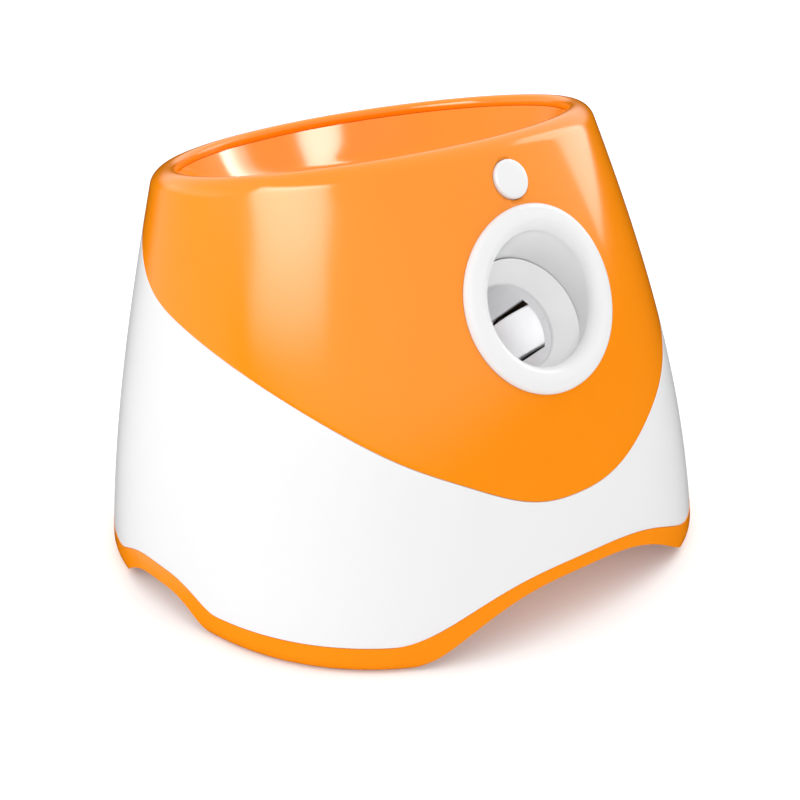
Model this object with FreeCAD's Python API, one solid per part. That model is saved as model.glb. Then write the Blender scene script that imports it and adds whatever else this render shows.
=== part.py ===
import FreeCAD, Part
import math
import os

# Automatic ball launcher for dogs, in millimetres and degrees.
# +Z is up, the port faces -Y, and the origin is on the floor under the middle of the base.

V = FreeCAD.Vector
X_AXIS = V(1, 0, 0)
Y_AXIS = V(0, 1, 0)
Z_AXIS = V(0, 0, 1)

# ---------------------------------------------------------------- driving dimensions
# What the machine is made for
BALL_DIAMETER = 50.0
BORE_CLEARANCE = 0.5            # between ball and barrel, on the radius
CHUTE_CLEARANCE = 3.0           # between ball and feed chute, on the radius

# Casing outline: a rounded oval that leans in towards the rim
BASE_HALF_WIDTH = 170.0
BASE_HALF_DEPTH = 154.5
BASE_FRONT_DRAFT = 4.5
BASE_BACK_DRAFT = 2.1
BASE_SQUARENESS = 2.49          # exponent of the oval: 2 is an ellipse, more is squarer
RIM_HEIGHT = 245.0              # on the centre line
RIM_TILT = 10.2                 # the rim is higher at the front
RIM_HALF_WIDTH = 137.4
RIM_SIDE_DRAFT = 9.7
RIM_FRONT = 83.1
RIM_FRONT_DRAFT = 31.0
RIM_BACK = 125.1
RIM_BACK_DRAFT = 17.7
RIM_SQUARENESS = 1.95
CASING_WALL = 2.6
SEAM_GAP = 0.2                  # between one casing part and the next
RING_POINTS = 28                # points that shape each oval

# Rolled rim of the upper shell
LIP_RADIUS = 8.7
LIP_INNER_RADIUS = 5.5
LIP_DEPTH = 9.5
LIP_LEAN = 0.5

# Parting line between the orange and the white shell, seen from the side: (y, z)
PARTING_LINE = ((-175.0, 24.0), (-156.0, 54.0), (-145.0, 76.0), (-132.0, 96.0), (-117.5, 109.0),
                (-88.7, 129.0), (-48.5, 149.0), (0.0, 165.0), (46.0, 179.0), (88.0, 203.0),
                (128.0, 210.5), (180.0, 211.0))

# Foot band and the arches under it
FLOOR_LIFT = 1.0                # the rubber pads hold the tray off the floor
FOOT_EDGE_HEIGHT = 8.0
FOOT_EDGE_TUCK = 4.5
BAND_HEIGHT_AT_FEET = 14.0
BAND_RISE_FRONT = 25.0
ARCH_RISE_FRONT = 33.5
ARCH_HALF_WIDTH_FRONT = 115.0
BAND_RISE_SIDE = 11.0
ARCH_RISE_SIDE = 17.0
ARCH_HALF_WIDTH_SIDE = 52.0
ARCH_CENTRE_SIDE = 12.0
ARCH_START = -1.5               # the arch curve starts this far below the feet
TRAY_WALL = 3.0
TRAY_FLOOR = 34.0               # underside of the tray's floor
TRAY_FLOOR_THICKNESS = 3.0
TRAY_RIM_OVERLAP = 5.0          # inner edge of the tray that locates the white shell
TRAY_LOCATING_WALL = 2.4
FIT_GAP = 0.25

# Foot pads
PAD_RADIUS = 11.0
PAD_THICKNESS = 3.5
PAD_COLUMN_WALL = 3.5
PAD_X = BASE_HALF_WIDTH - 58.0
PAD_FRONT_Y = 74.5 - BASE_HALF_DEPTH
PAD_BACK_Y = BASE_HALF_DEPTH - 68.5

# Port bezel and barrel
PORT_HEIGHT = 180.0
PORT_ELEVATION = 22.6
BEZEL_RADIUS = 51.3
BEZEL_PROUD = 4.6
BEZEL_EDGE_RADIUS = 2.6
BEZEL_LIP_RADIUS = 38.6
BEZEL_LIP_ROUND = 4.2
BEZEL_SLEEVE_WALL = 2.2
BEZEL_SLEEVE_DEPTH = 4.0
LAUNCH_ELEVATION = 40.0
MUZZLE_Y = -101.3
MUZZLE_Z = 164.2
MUZZLE_RADIUS = 35.4
MUZZLE_CONE_DEPTH = 12.0
MUZZLE_EDGE = 1.6
MUZZLE_SEAT = 8.0
MUZZLE_COLLAR_WALL = 2.4
MUZZLE_GAP = 0.9                # between the muzzle's edge and the bezel's sleeve
BARREL_WALL = 3.0
BARREL_LENGTH = 95.0            # from the muzzle's mouth to the breech wall
BREECH_WALL = 2.6

# Launch wheels and their motors
WHEEL_RADIUS = 32.0
WHEEL_WIDTH = 24.0
WHEEL_NIP = 40.0                # gap between the two wheels, under a ball's diameter
WHEEL_DEPTH = 45.0              # from the muzzle's mouth, along the barrel
WHEEL_WINDOW_GAP = 2.7
WHEEL_WINDOW_HALF = 25.0
TYRE_THICKNESS = 7.0
TYRE_ROUND = 1.4
HUB_RIM = 2.4
HUB_WEB = 3.0
HUB_BOSS_RADIUS = 6.0
HUB_HOLES = 5
HUB_HOLE_RADIUS = 4.0
SHAFT_RADIUS = 2.5
RUNNING_FIT = 0.05
MOTOR_RADIUS = 18.0
MOTOR_LENGTH = 44.0
MOTOR_BOSS_RADIUS = 6.4
MOTOR_BOSS_HEIGHT = 2.2
MOTOR_SCREW_SPACING = 25.0
MOTOR_CAP_LENGTH = 5.5
MOTOR_CAP_RADIUS = 16.4
MOTOR_PLATE = 2.5
MOTOR_PLATE_GAP = 3.0           # between the wheel and the plate that carries the motor
MOTOR_PLATE_EDGE = 5.0

# Frame under the barrel
WEB_X = 18.0
WEB_THICKNESS = 3.0
WEB_FRONT_Y = -97.0
WEB_BACK_Y = -41.0
FRAME_FOOT_WIDTH = 14.0
FRAME_FOOT_THICKNESS = 3.0
FLANGE_WIDTH = 9.0
FLANGE_THICKNESS = 2.5

# Hopper funnel and feed chute
FUNNEL_WALL = 2.2
THROAT_Y = 15.0
THROAT_Z = 173.0
THROAT_COLLAR = 8.0
CHUTE_SLOPE = 25.0
CHUTE_WALL = 2.5
POCKET_DEPTH = 64.0
CHUTE_DROP = 4.5                # the chute meets the barrel this far below its axis
CHUTE_LAP = 30.0                # the chute's tube reaches on this far before it is trimmed to the barrel

# Feed gate
GATE_PIVOT_UP = 52.0            # along the chute, from the ball pocket
GATE_PIVOT_OUT = 36.5           # from the chute's axis
GATE_SHAFT_RADIUS = 2.0
GATE_ARM_LENGTH = 22.0
GATE_ARM_WIDTH = 8.0
GATE_ARM_THICKNESS = 4.0
GATE_BOSS_RADIUS = 5.0
GATE_SLOT_MARGIN = 2.5
EAR_THICKNESS = 4.0
GEAR_MODULE = 1.0
GATE_TEETH = 36
PINION_TEETH = 12
GEAR_X = 32.5
GEAR_WIDTH = 4.5
GEAR_BACKLASH = 0.12
GATE_MOTOR_X = 42.5
GATE_MOTOR_RADIUS = 12.0
GATE_MOTOR_LENGTH = 30.0
GATE_MOTOR_BOSS_RADIUS = 3.4
GATE_MOTOR_SHAFT_RADIUS = 1.5
BRACKET_THICKNESS = 2.5
BRACKET_FRONT_Y = 12.0
BRACKET_BACK_Y = 34.0
BRACKET_FOOT = 14.0

# Ball sensor
SENSOR_UP = 74.0
SENSOR_LED_RADIUS = 2.5
SENSOR_BODY = 8.0

# Push button
BUTTON_HEIGHT = 239.0
BUTTON_ELEVATION = 30.0
BUTTON_RADIUS = 11.0
BUTTON_PROUD = 2.4
BUTTON_DOME = 0.7
BUTTON_TRAVEL = 1.5
BUTTON_GAP = 0.35
BUTTON_FLANGE = 1.5
BUTTON_SKIRT = 4.4              # from the casing's surface to the flange
SPRING_RADIUS = 5.5
SPRING_WIRE = 0.8
SPRING_TURNS = 3
BUTTON_BOARD_WIDTH = 40.0
BUTTON_BOARD_HEIGHT = 16.0
BUTTON_BOARD_DEPTH = 10.4
BOARD_THICKNESS = 1.6
BUTTON_POST_X = 16.5
BUTTON_POST_RADIUS = 3.0

# Batteries, size C
CELL_RADIUS = 13.1
CELL_LENGTH = 50.0
CELL_COLUMNS = 3
CELL_ROWS = 2
CELL_PITCH = 27.2
CELL_NUB_RADIUS = 3.0
CELL_NUB_LENGTH = 1.8
CONTACT_SPACE = 3.0
BATTERY_BOX_WALL = 2.0
BATTERY_BOX_Y = 37.0
DOOR_THICKNESS = 2.2
DOOR_GAP = 0.3
DOOR_LEDGE = 3.0
DOOR_HOOK_WIDTH = 8.0
DOOR_HOOK_THICKNESS = 1.4
DOOR_HOOK_REACH = 1.3

# Socket for the adapter, on the back
SOCKET_HEIGHT = 92.0
SOCKET_FLANGE_RADIUS = 8.5
SOCKET_FLANGE_THICKNESS = 1.4
SOCKET_BARREL_RADIUS = 5.9
SOCKET_BORE_RADIUS = 3.1
SOCKET_PIN_RADIUS = 1.0
SOCKET_LENGTH = 15.0
SOCKET_NUT_RADIUS = 8.5
SOCKET_NUT_THICKNESS = 3.0

# Control board
BOARD_X = 38.0 - BASE_HALF_WIDTH
BOARD_WIDTH = 62.0
BOARD_DEPTH = 78.0
BOARD_STANDOFF = 6.0
BOARD_STANDOFF_RADIUS = 3.2
BOARD_HOLE_INSET = 4.5

# Screws
SCREW_RADIUS = 1.5
SCREW_LENGTH = 10.0
SHORT_SCREW = 8.0
SCREW_HEAD_RADIUS = 2.9
SCREW_HEAD_HEIGHT = 1.8
SCREW_CLEARANCE = 0.2
CASING_SCREW_X = BASE_HALF_WIDTH - 24.0
CASING_SCREW_FRONT_Y = -50.0
CASING_SCREW_BACK_Y = 62.0
CASING_BOSS_RADIUS = 5.0
CASING_BOSS_HEIGHT = 26.0

# ---------------------------------------------------------------- derived places
TILT = math.tan(math.radians(RIM_TILT))
LIP_WIDTH = LIP_RADIUS + LIP_INNER_RADIUS + LIP_LEAN
BORE_RADIUS = BALL_DIAMETER / 2 + BORE_CLEARANCE
BARREL_RADIUS = BORE_RADIUS + BARREL_WALL
CHUTE_RADIUS = BALL_DIAMETER / 2 + CHUTE_CLEARANCE
FLOOR_TOP = TRAY_FLOOR + TRAY_FLOOR_THICKNESS
WHEEL_X = WHEEL_NIP / 2 + WHEEL_RADIUS
FAR = 2 * BASE_HALF_WIDTH       # longer than anything it has to reach through


def side_line(z, low, high, low_draft, high_draft):
    """Distance from the centre plane at height z: a curve with set ends and set drafts."""
    t = z / RIM_HEIGHT
    start = -RIM_HEIGHT * math.tan(math.radians(low_draft))
    end = -RIM_HEIGHT * math.tan(math.radians(high_draft))
    return (low * (2 * t ** 3 - 3 * t ** 2 + 1) + start * (t ** 3 - 2 * t ** 2 + t)
            + high * (3 * t ** 2 - 2 * t ** 3) + end * (t ** 3 - t ** 2))


def front_at(z):
    return side_line(z, BASE_HALF_DEPTH, RIM_FRONT, BASE_FRONT_DRAFT, RIM_FRONT_DRAFT)


def back_at(z):
    return side_line(z, BASE_HALF_DEPTH, RIM_BACK, BASE_BACK_DRAFT, RIM_BACK_DRAFT)


def half_width_at(z):
    return side_line(z, BASE_HALF_WIDTH, RIM_HALF_WIDTH, 0.0, RIM_SIDE_DRAFT)


def outline_point(angle, z, inset):
    """Point of the casing's oval at height z; the angle runs from the back, and inset is inwards."""
    front, back = front_at(z), back_at(z)
    squareness = BASE_SQUARENESS + (RIM_SQUARENESS - BASE_SQUARENESS) * z / RIM_HEIGHT
    c, s = math.cos(angle), math.sin(angle)
    reach = (abs(c) ** squareness + abs(s) ** squareness) ** (-1 / squareness)
    x = (half_width_at(z) - inset) * reach * s
    y = (back - front) / 2 + ((front + back) / 2 - inset) * reach * c
    return x, y


def ring_angles():
    return [2 * math.pi * k / RING_POINTS for k in range(RING_POINTS)]


def ring(inset, level, tilt_share=0.0):
    """Points of the casing's oval at a height that falls towards the back with its tilt."""
    points = []
    for angle in ring_angles():
        z = level
        for _ in range(12):
            x, y = outline_point(angle, z, inset)
            z = level - tilt_share * TILT * y
        points.append(V(x, y, z))
    return points


def middle(edge):
    return edge.valueAt((edge.FirstParameter + edge.LastParameter) / 2)


def skin(rings):
    """Solid inside a smooth skin through a stack of closed rings of points, with flat ends."""
    count = len(rings[0])
    rows = []
    for points in rings:
        around = Part.BSplineCurve()
        around.interpolate(Points=points, PeriodicFlag=True, Parameters=[float(k) for k in range(count + 1)])
        rows.append(around.getPoles())
    spans = [0.0]
    for lower, upper in zip(rings, rings[1:]):
        spans.append(spans[-1] + sum(a.distanceToPoint(b) for a, b in zip(lower, upper)) / count)
    columns = []
    for column in zip(*rows):
        upward = Part.BSplineCurve()
        upward.interpolate(Points=list(column), Parameters=spans)
        columns.append(upward.getPoles())
    whole = Part.BSplineSurface()
    whole.buildFromPolesMultsKnots(columns, around.getMultiplicities(), upward.getMultiplicities(),
                                   around.getKnots(), upward.getKnots(), True, False, 3, upward.Degree)
    faces = []
    for start in (0, count / 2):
        half = whole.copy()
        half.segment(start, start + count / 2, 0.0, spans[-1])
        faces.append(half.toShape())
    for points in (rings[0], rings[-1]):
        edges = []
        for k in (0, 1):
            spot = points[count // 4 + k * count // 2]
            edges.append(min(faces[k].Edges, key=lambda edge: middle(edge).distanceToPoint(spot)))
        faces.append(Part.Face(Part.Wire(edges)))
    shell = Part.makeShell(faces)
    shell.sewShape()
    solid = Part.Solid(shell.Shells[0])
    if solid.Volume < 0:
        solid.reverse()
    return solid


def cone_skin(first, second):
    """Solid between two circles, each (placement, radius)."""
    wires = []
    for placement, radius in (first, second):
        circle = Part.Wire([Part.Circle(V(0, 0, 0), Z_AXIS, radius).toShape()])
        wires.append(at(placement, circle))
    return Part.makeLoft(wires, True, True)


def cylinder(radius, low, high, axis=Z_AXIS, at=V(0, 0, 0)):
    """Cylinder along an axis through a point, from low to high along that axis."""
    return Part.makeCylinder(radius, high - low, at + axis * low, axis)


def box(x0, x1, y0, y1, z0, z1):
    return Part.makeBox(x1 - x0, y1 - y0, z1 - z0, V(x0, y0, z0))


def turned(profile):
    """Solid turned about Z from (radius, height) corners."""
    points = [V(r, 0, h) for r, h in profile]
    face = Part.Face(Part.makePolygon(points + points[:1]))
    return face.revolve(V(0, 0, 0), Z_AXIS, 360)


def plate_across_x(corners, x0, x1):
    """Flat plate with (y, z) corners, between two x."""
    points = [V(x0, y, z) for y, z in corners]
    return Part.Face(Part.makePolygon(points + points[:1])).extrude(V(x1 - x0, 0, 0))


def at(placement, shape):
    moved = shape.copy()
    moved.Placement = placement.multiply(moved.Placement)
    return moved


def fuse(first, *others):
    return first.fuse(list(others)).removeSplitter()


def facing(point, elevation):
    """Frame at a point whose Z looks to the front and up by an elevation, with X across."""
    return FreeCAD.Placement(point, FreeCAD.Rotation(X_AXIS, 90 - elevation))


def screw(length=SCREW_LENGTH):
    """Pan-head screw that points down, with the underside of its head at the origin."""
    head = turned([(0, SCREW_HEAD_HEIGHT), (SCREW_HEAD_RADIUS * 0.6, SCREW_HEAD_HEIGHT),
                   (SCREW_HEAD_RADIUS, SCREW_HEAD_HEIGHT * 0.4), (SCREW_HEAD_RADIUS, 0),
                   (SCREW_RADIUS, 0), (SCREW_RADIUS, 1 - length), (0, -length)])
    slot = SCREW_RADIUS * 0.4
    for turn in (0, 90):
        cut = box(-SCREW_RADIUS, SCREW_RADIUS, -slot / 2, slot / 2, SCREW_HEAD_HEIGHT / 2, SCREW_HEAD_HEIGHT + 1)
        head = head.cut(at(FreeCAD.Placement(V(0, 0, 0), FreeCAD.Rotation(Z_AXIS, turn)), cut))
    return head


FLIPPED = FreeCAD.Rotation(X_AXIS, 180)

PORT = facing(V(0, -front_at(PORT_HEIGHT), PORT_HEIGHT), PORT_ELEVATION)
LAUNCH = facing(V(0, MUZZLE_Y, MUZZLE_Z), LAUNCH_ELEVATION)
BUTTON = facing(V(0, -front_at(BUTTON_HEIGHT), BUTTON_HEIGHT), BUTTON_ELEVATION)
# The chute's frame: Z runs up the chute towards the back, Y points out through its floor.
CHUTE = FreeCAD.Placement(LAUNCH.multVec(V(0, -CHUTE_DROP, -POCKET_DEPTH)),
                          FreeCAD.Rotation(X_AXIS, CHUTE_SLOPE - 90))
CHUTE_TOP = (THROAT_Y - CHUTE.Base.y) / math.cos(math.radians(CHUTE_SLOPE))


# ---------------------------------------------------------------- casing volumes
def casing_volume(inset, low, high, foot_edge=False):
    """The casing's outside, or the same moved inwards, between two heights."""
    rings = []
    if foot_edge:
        if inset > 0:
            rings.append(ring(inset + FOOT_EDGE_TUCK, low - FOOT_EDGE_HEIGHT))
        for share in (0.0, 0.15, 0.4, 0.7):
            tuck = FOOT_EDGE_TUCK * (1 - math.sqrt(1 - (1 - share) ** 2))
            rings.append(ring(inset + tuck, low + share * FOOT_EDGE_HEIGHT))
        low += FOOT_EDGE_HEIGHT
    steps = max(2, round((high - low) / 40))
    for k in range(steps + 1):
        rings.append(ring(inset, low + (high - low) * k / steps))
    return skin(rings)


def lip_rings(wall):
    """Ovals over the rolled rim, from the outside over the crown and down inside; wall is inwards."""
    outer = LIP_RADIUS - wall
    inner = LIP_INNER_RADIUS - wall
    places = []
    for turn in (0, 22.5, 45, 67.5, 90):
        a = math.radians(turn)
        places.append((LIP_RADIUS - outer * math.cos(a), LIP_RADIUS - outer * math.sin(a)))
    for turn in (35, 65, 90):
        a = math.radians(turn)
        places.append((LIP_RADIUS + inner * math.sin(a), wall + inner * (1 - math.cos(a))))
    return places


def rim_volume(wall, low, depth):
    """The upper casing's outside with its rolled rim, or the same moved inwards by the wall."""
    rings = [ring(wall, low)]
    for level, tilt_share in ((95, 0.15), (140, 0.4), (180, 0.65), (215, 0.9)):
        rings.append(ring(wall, level * RIM_HEIGHT / 245, tilt_share))
    for inset, drop in lip_rings(wall):
        rings.append(ring(inset, RIM_HEIGHT - drop, 1.0))
    rings.append(ring(LIP_WIDTH - wall, RIM_HEIGHT - depth, 1.0))
    return skin(rings)


def parting_volume(shift):
    """Everything above the parting line, moved up by a shift."""
    curve = Part.BSplineCurve()
    curve.interpolate([V(-FAR / 2, y, z + shift) for y, z in PARTING_LINE])
    first, last = PARTING_LINE[0], PARTING_LINE[-1]
    top = RIM_HEIGHT * 1.5
    closing = Part.makePolygon([V(-FAR / 2, last[0], last[1] + shift), V(-FAR / 2, last[0], top),
                                V(-FAR / 2, first[0], top), V(-FAR / 2, first[0], first[1] + shift)])
    return Part.Face(Part.Wire([curve.toShape()] + closing.Edges)).extrude(V(FAR, 0, 0))


def bell(share):
    """1 in the middle, 0 at the ends, with level ends."""
    return (1 - abs(share) ** 3) ** 2


def wave_prism(half_width, base, rise, centre, reach, start, end, across_x):
    """Prism under a bell-shaped wave with level ends; it runs along Y across X, or along X across Y."""
    steps = 12
    crest = []
    for k in range(steps + 1):
        share = 2 * k / steps - 1
        crest.append((centre + share * half_width, base + rise * bell(share)))
    low = base - RIM_HEIGHT / 4
    chain = [crest[-1], (centre + reach, base), (centre + reach, low), (centre - reach, low),
             (centre - reach, base), crest[0]]
    if reach <= half_width:
        chain = [crest[-1], (crest[-1][0], low), (crest[0][0], low), crest[0]]

    def point(run, z):
        return V(start, run, z) if across_x else V(run, start, z)

    curve = Part.BSplineCurve()
    curve.interpolate([point(run, z) for run, z in crest])
    wire = Part.Wire([curve.toShape()] + Part.makePolygon([point(run, z) for run, z in chain]).Edges)
    return Part.Face(wire).extrude(V(end - start, 0, 0) if across_x else V(0, end - start, 0))


CORNER_Y = BASE_HALF_DEPTH * 0.5        # where the front and back waves hand over to the side waves
OUTSIDE_TOP = max(z for y, z in PARTING_LINE) + 14


def band_volume(shift):
    """Everything under the upper edge of the foot band."""
    base = FLOOR_LIFT + BAND_HEIGHT_AT_FEET + shift
    reach = BASE_HALF_WIDTH * 1.2
    front = wave_prism(ARCH_HALF_WIDTH_FRONT, base, BAND_RISE_FRONT, 0.0, reach, -reach, -CORNER_Y, False)
    back = wave_prism(ARCH_HALF_WIDTH_FRONT, base, BAND_RISE_FRONT, 0.0, reach, CORNER_Y, reach, False)
    sides = wave_prism(ARCH_HALF_WIDTH_SIDE, base, BAND_RISE_SIDE, ARCH_CENTRE_SIDE, reach, -reach, reach, True)
    sides = sides.common(box(-reach, reach, -CORNER_Y, CORNER_Y, -RIM_HEIGHT, RIM_HEIGHT))
    return fuse(front, back, sides)


def arch_volumes():
    base = FLOOR_LIFT + ARCH_START
    reach = BASE_HALF_WIDTH * 1.2
    arches = []
    for start, end in ((-reach, -CORNER_Y), (CORNER_Y, reach)):
        arches.append(wave_prism(ARCH_HALF_WIDTH_FRONT, base, ARCH_RISE_FRONT, 0.0, 0.0, start, end, False))
        side_arch = (ARCH_HALF_WIDTH_SIDE, base, ARCH_RISE_SIDE, ARCH_CENTRE_SIDE, 0.0, start, end, True)
        arches.append(wave_prism(*side_arch))
    return arches


# ---------------------------------------------------------------- casing parts
def sleeve_volume(grow):
    """All that lies inside the outer face of the bezel's sleeve, from the muzzle out to the port."""
    depth = -BEZEL_SLEEVE_DEPTH - grow
    back = LAUNCH.multiply(FreeCAD.Placement(V(0, 0, depth), FreeCAD.Rotation()))
    back_radius = MUZZLE_RADIUS + MUZZLE_GAP + BEZEL_SLEEVE_WALL + grow
    return cone_skin((back, back_radius), (PORT, BEZEL_LIP_RADIUS + BEZEL_SLEEVE_WALL + grow))


def upper_shell():
    shell = rim_volume(0.0, 45.0, LIP_DEPTH).cut(rim_volume(CASING_WALL, 43.0, LIP_DEPTH - 1))
    shell = shell.common(parting_volume(SEAM_GAP / 2))
    sleeve_room = BEZEL_LIP_RADIUS + BEZEL_SLEEVE_WALL + 5 * FIT_GAP
    shell = shell.cut(at(PORT, cylinder(sleeve_room, -40, 30))).cut(sleeve_volume(3 * FIT_GAP))
    for side in (-1, 1):
        place = V(side * BUTTON_POST_X, 0, 0)
        post = cylinder(BUTTON_POST_RADIUS, -BUTTON_BOARD_DEPTH, -CASING_WALL / 2, Z_AXIS, place)
        hole = cylinder(SCREW_RADIUS, -BUTTON_BOARD_DEPTH - 1, -CASING_WALL, Z_AXIS, place)
        shell = shell.fuse(at(BUTTON, post)).cut(at(BUTTON, hole))
    shell = shell.cut(at(BUTTON, cylinder(BUTTON_RADIUS + BUTTON_GAP, -20, 20)))
    return shell.removeSplitter()


def funnel_rings(offset, reach):
    """Ovals down the funnel that turn into the round throat; offset is outwards, through its wall."""
    start = RIM_HEIGHT - LIP_DEPTH - SEAM_GAP
    base = THROAT_Z + THROAT_COLLAR
    edges = ring(LIP_WIDTH - offset, start, 1.0)
    # share of the way to the throat, share of the height, share of the rim's tilt, share of the wall downwards
    bowl = ((0.0, 1.0, 1.0, 0.0), (0.04, 0.80, 0.9, 0.15), (0.10, 0.57, 0.72, 0.4), (0.20, 0.37, 0.45, 0.7),
            (0.36, 0.22, 0.18, 0.95), (0.56, 0.12, 0.05, 1.0), (0.76, 0.06, 0.0, 1.0), (0.92, 0.025, 0.0, 1.0))
    # beyond the throat's radius, above the throat's top, share of the wall downwards
    throat = ((3.6, 0.4, 0.95), (1.6, -0.8, 0.7), (0.4, -2.6, 0.3), (0.0, -4.6, 0.0),
              (0.0, -THROAT_COLLAR - reach, 0.0))
    rings = []
    for share, rise, tilt_share, below in bowl:
        points = []
        for angle, edge in zip(ring_angles(), edges):
            radius = CHUTE_RADIUS + offset
            x = edge.x + (radius * math.sin(angle) - edge.x) * share
            y = edge.y + (THROAT_Y + radius * math.cos(angle) - edge.y) * share
            points.append(V(x, y, base + (start - base) * rise - tilt_share * TILT * edge.y - offset * below))
        rings.append(points)
    for extra, rise, below in throat:
        radius = CHUTE_RADIUS + offset + extra
        z = base + rise - offset * below
        rings.append([V(radius * math.sin(a), THROAT_Y + radius * math.cos(a), z) for a in ring_angles()])
    return rings


def hopper_funnel():
    top = RIM_HEIGHT - LIP_DEPTH - SEAM_GAP
    bowl = skin(funnel_rings(FUNNEL_WALL, 0.0)).cut(skin(funnel_rings(0.0, 3.0)))
    # A collar that rises behind the rim's inner edge and holds the funnel in the upper shell
    hidden = LIP_RADIUS + LIP_INNER_RADIUS - CASING_WALL - FIT_GAP
    collar = skin([ring(hidden - FUNNEL_WALL, top - 3, 1.0), ring(hidden - FUNNEL_WALL, top + 4.5, 1.0)])
    collar = collar.cut(skin([ring(hidden, top, 1.0), ring(hidden, top + 8, 1.0)]))
    bowl_side = LIP_WIDTH - FUNNEL_WALL / 2
    collar = collar.cut(skin([ring(bowl_side, top - 8, 1.0), ring(bowl_side, top + 5, 1.0)]))
    return bowl.fuse(collar).removeSplitter()


def lower_shell():
    shell = casing_volume(0.0, FLOOR_LIFT, OUTSIDE_TOP, True)
    shell = shell.cut(casing_volume(CASING_WALL, -5.0, OUTSIDE_TOP + 5))
    shell = shell.cut(parting_volume(-SEAM_GAP / 2))
    shell = shell.cut(band_volume(SEAM_GAP))
    for sx in (-1, 1):
        for y in (CASING_SCREW_FRONT_Y, CASING_SCREW_BACK_Y):
            x = sx * CASING_SCREW_X
            boss_top = FLOOR_TOP + CASING_BOSS_HEIGHT
            boss = cylinder(CASING_BOSS_RADIUS, FLOOR_TOP + FIT_GAP, boss_top, Z_AXIS, V(x, y, 0))
            rib_end = sx * (half_width_at(FLOOR_TOP) + 5)
            rib = box(min(x, rib_end), max(x, rib_end), y - 1.5, y + 1.5,
                      FLOOR_TOP + TRAY_RIM_OVERLAP + 1, boss_top - 3)
            rib = rib.common(casing_volume(CASING_WALL / 2, FLOOR_TOP, boss_top))
            hole_top = FLOOR_TOP + SCREW_LENGTH + 2
            hole = cylinder(SCREW_RADIUS + 0.05, FLOOR_TOP - 1, hole_top, Z_AXIS, V(x, y, 0))
            shell = shell.fuse([boss, rib]).cut(hole)
    at_back = V(0, back_at(SOCKET_HEIGHT), SOCKET_HEIGHT)
    shell = shell.cut(cylinder(SOCKET_BARREL_RADIUS + FIT_GAP, -20, 20, Y_AXIS, at_back))
    return shell.removeSplitter()


def tray_screw_places():
    """Every screw that passes up through the tray's floor: casing, frame and bracket."""
    places = []
    for sx in (-1, 1):
        for y in (CASING_SCREW_FRONT_Y, CASING_SCREW_BACK_Y):
            places.append((sx * CASING_SCREW_X, y))
    return places


def frame_screw_places():
    x = WEB_X + WEB_THICKNESS + (FRAME_FOOT_WIDTH - WEB_THICKNESS) / 2
    return [(sx * x, y) for sx in (-1, 1) for y in (WEB_FRONT_Y + 8, WEB_BACK_Y - 8)]


def bracket_screw_places():
    x = GATE_MOTOR_X - BRACKET_THICKNESS + BRACKET_FOOT / 2 + BRACKET_THICKNESS / 2
    middle = (BRACKET_FRONT_Y + BRACKET_BACK_Y) / 2
    return [(x, middle - 6), (x, middle + 6)]


def pad_places():
    return [(sx * PAD_X, y) for sx in (-1, 1) for y in (PAD_FRONT_Y, PAD_BACK_Y)]


def battery_space():
    """Inside of the battery box: x0, x1, y0, y1."""
    half = CELL_PITCH * (CELL_COLUMNS - 1) / 2 + CELL_RADIUS + 0.8
    length = CELL_ROWS * CELL_LENGTH + 2 * CONTACT_SPACE
    return -half, half, BATTERY_BOX_Y, BATTERY_BOX_Y + length


def battery_ceiling():
    return FLOOR_TOP + 2 * CELL_RADIUS + 1.6


def base_tray():
    skirt = casing_volume(0.0, FLOOR_LIFT, FLOOR_TOP + 20, True)
    skirt = skirt.cut(casing_volume(TRAY_WALL, FLOOR_LIFT, FLOOR_TOP + 25, True))
    skirt = skirt.common(band_volume(0.0))
    # A wall inside the band that carries the floor and locates the white shell
    inner = CASING_WALL + FIT_GAP
    wall = casing_volume(inner, FLOOR_LIFT + FOOT_EDGE_HEIGHT + 2, FLOOR_TOP + TRAY_RIM_OVERLAP)
    wall = wall.cut(casing_volume(inner + TRAY_LOCATING_WALL, FLOOR_LIFT, FLOOR_TOP + 30))
    tray = skirt.fuse(wall)
    for arch in arch_volumes():
        tray = tray.cut(arch)
    tray = tray.fuse(casing_volume(inner + TRAY_LOCATING_WALL / 2, TRAY_FLOOR, FLOOR_TOP))
    for x, y in pad_places():
        place = V(x, y, 0)
        tray = tray.fuse(cylinder(PAD_RADIUS + PAD_COLUMN_WALL, FLOOR_LIFT, FLOOR_TOP, Z_AXIS, place))
        tray = tray.cut(cylinder(PAD_RADIUS - 2, PAD_THICKNESS + 3, FLOOR_TOP + 1, Z_AXIS, place))
        tray = tray.cut(cylinder(PAD_RADIUS + FIT_GAP / 2, -1, PAD_THICKNESS, Z_AXIS, place))
    x0, x1, y0, y1 = battery_space()
    tray = tray.cut(box(x0, x1, y0, y1, TRAY_FLOOR - 1, FLOOR_TOP + 1))
    tray = tray.cut(box(x0 - DOOR_LEDGE, x1 + DOOR_LEDGE, y0 - DOOR_LEDGE, y1 + DOOR_LEDGE,
                        TRAY_FLOOR - 1, TRAY_FLOOR + DOOR_THICKNESS))
    wide = SCREW_RADIUS + SCREW_CLEARANCE
    for x, y in tray_screw_places() + frame_screw_places() + bracket_screw_places():
        tray = tray.cut(cylinder(wide, TRAY_FLOOR - 5, FLOOR_TOP + 1, Z_AXIS, V(x, y, 0)))
    for x, y in board_hole_places():
        place = V(x, y, 0)
        top = FLOOR_TOP + BOARD_STANDOFF
        tray = tray.fuse(cylinder(BOARD_STANDOFF_RADIUS, FLOOR_TOP - 1, top, Z_AXIS, place))
        tray = tray.cut(cylinder(SCREW_RADIUS + 0.05, TRAY_FLOOR + 1, top + 1, Z_AXIS, place))
    return tray.removeSplitter()


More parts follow.
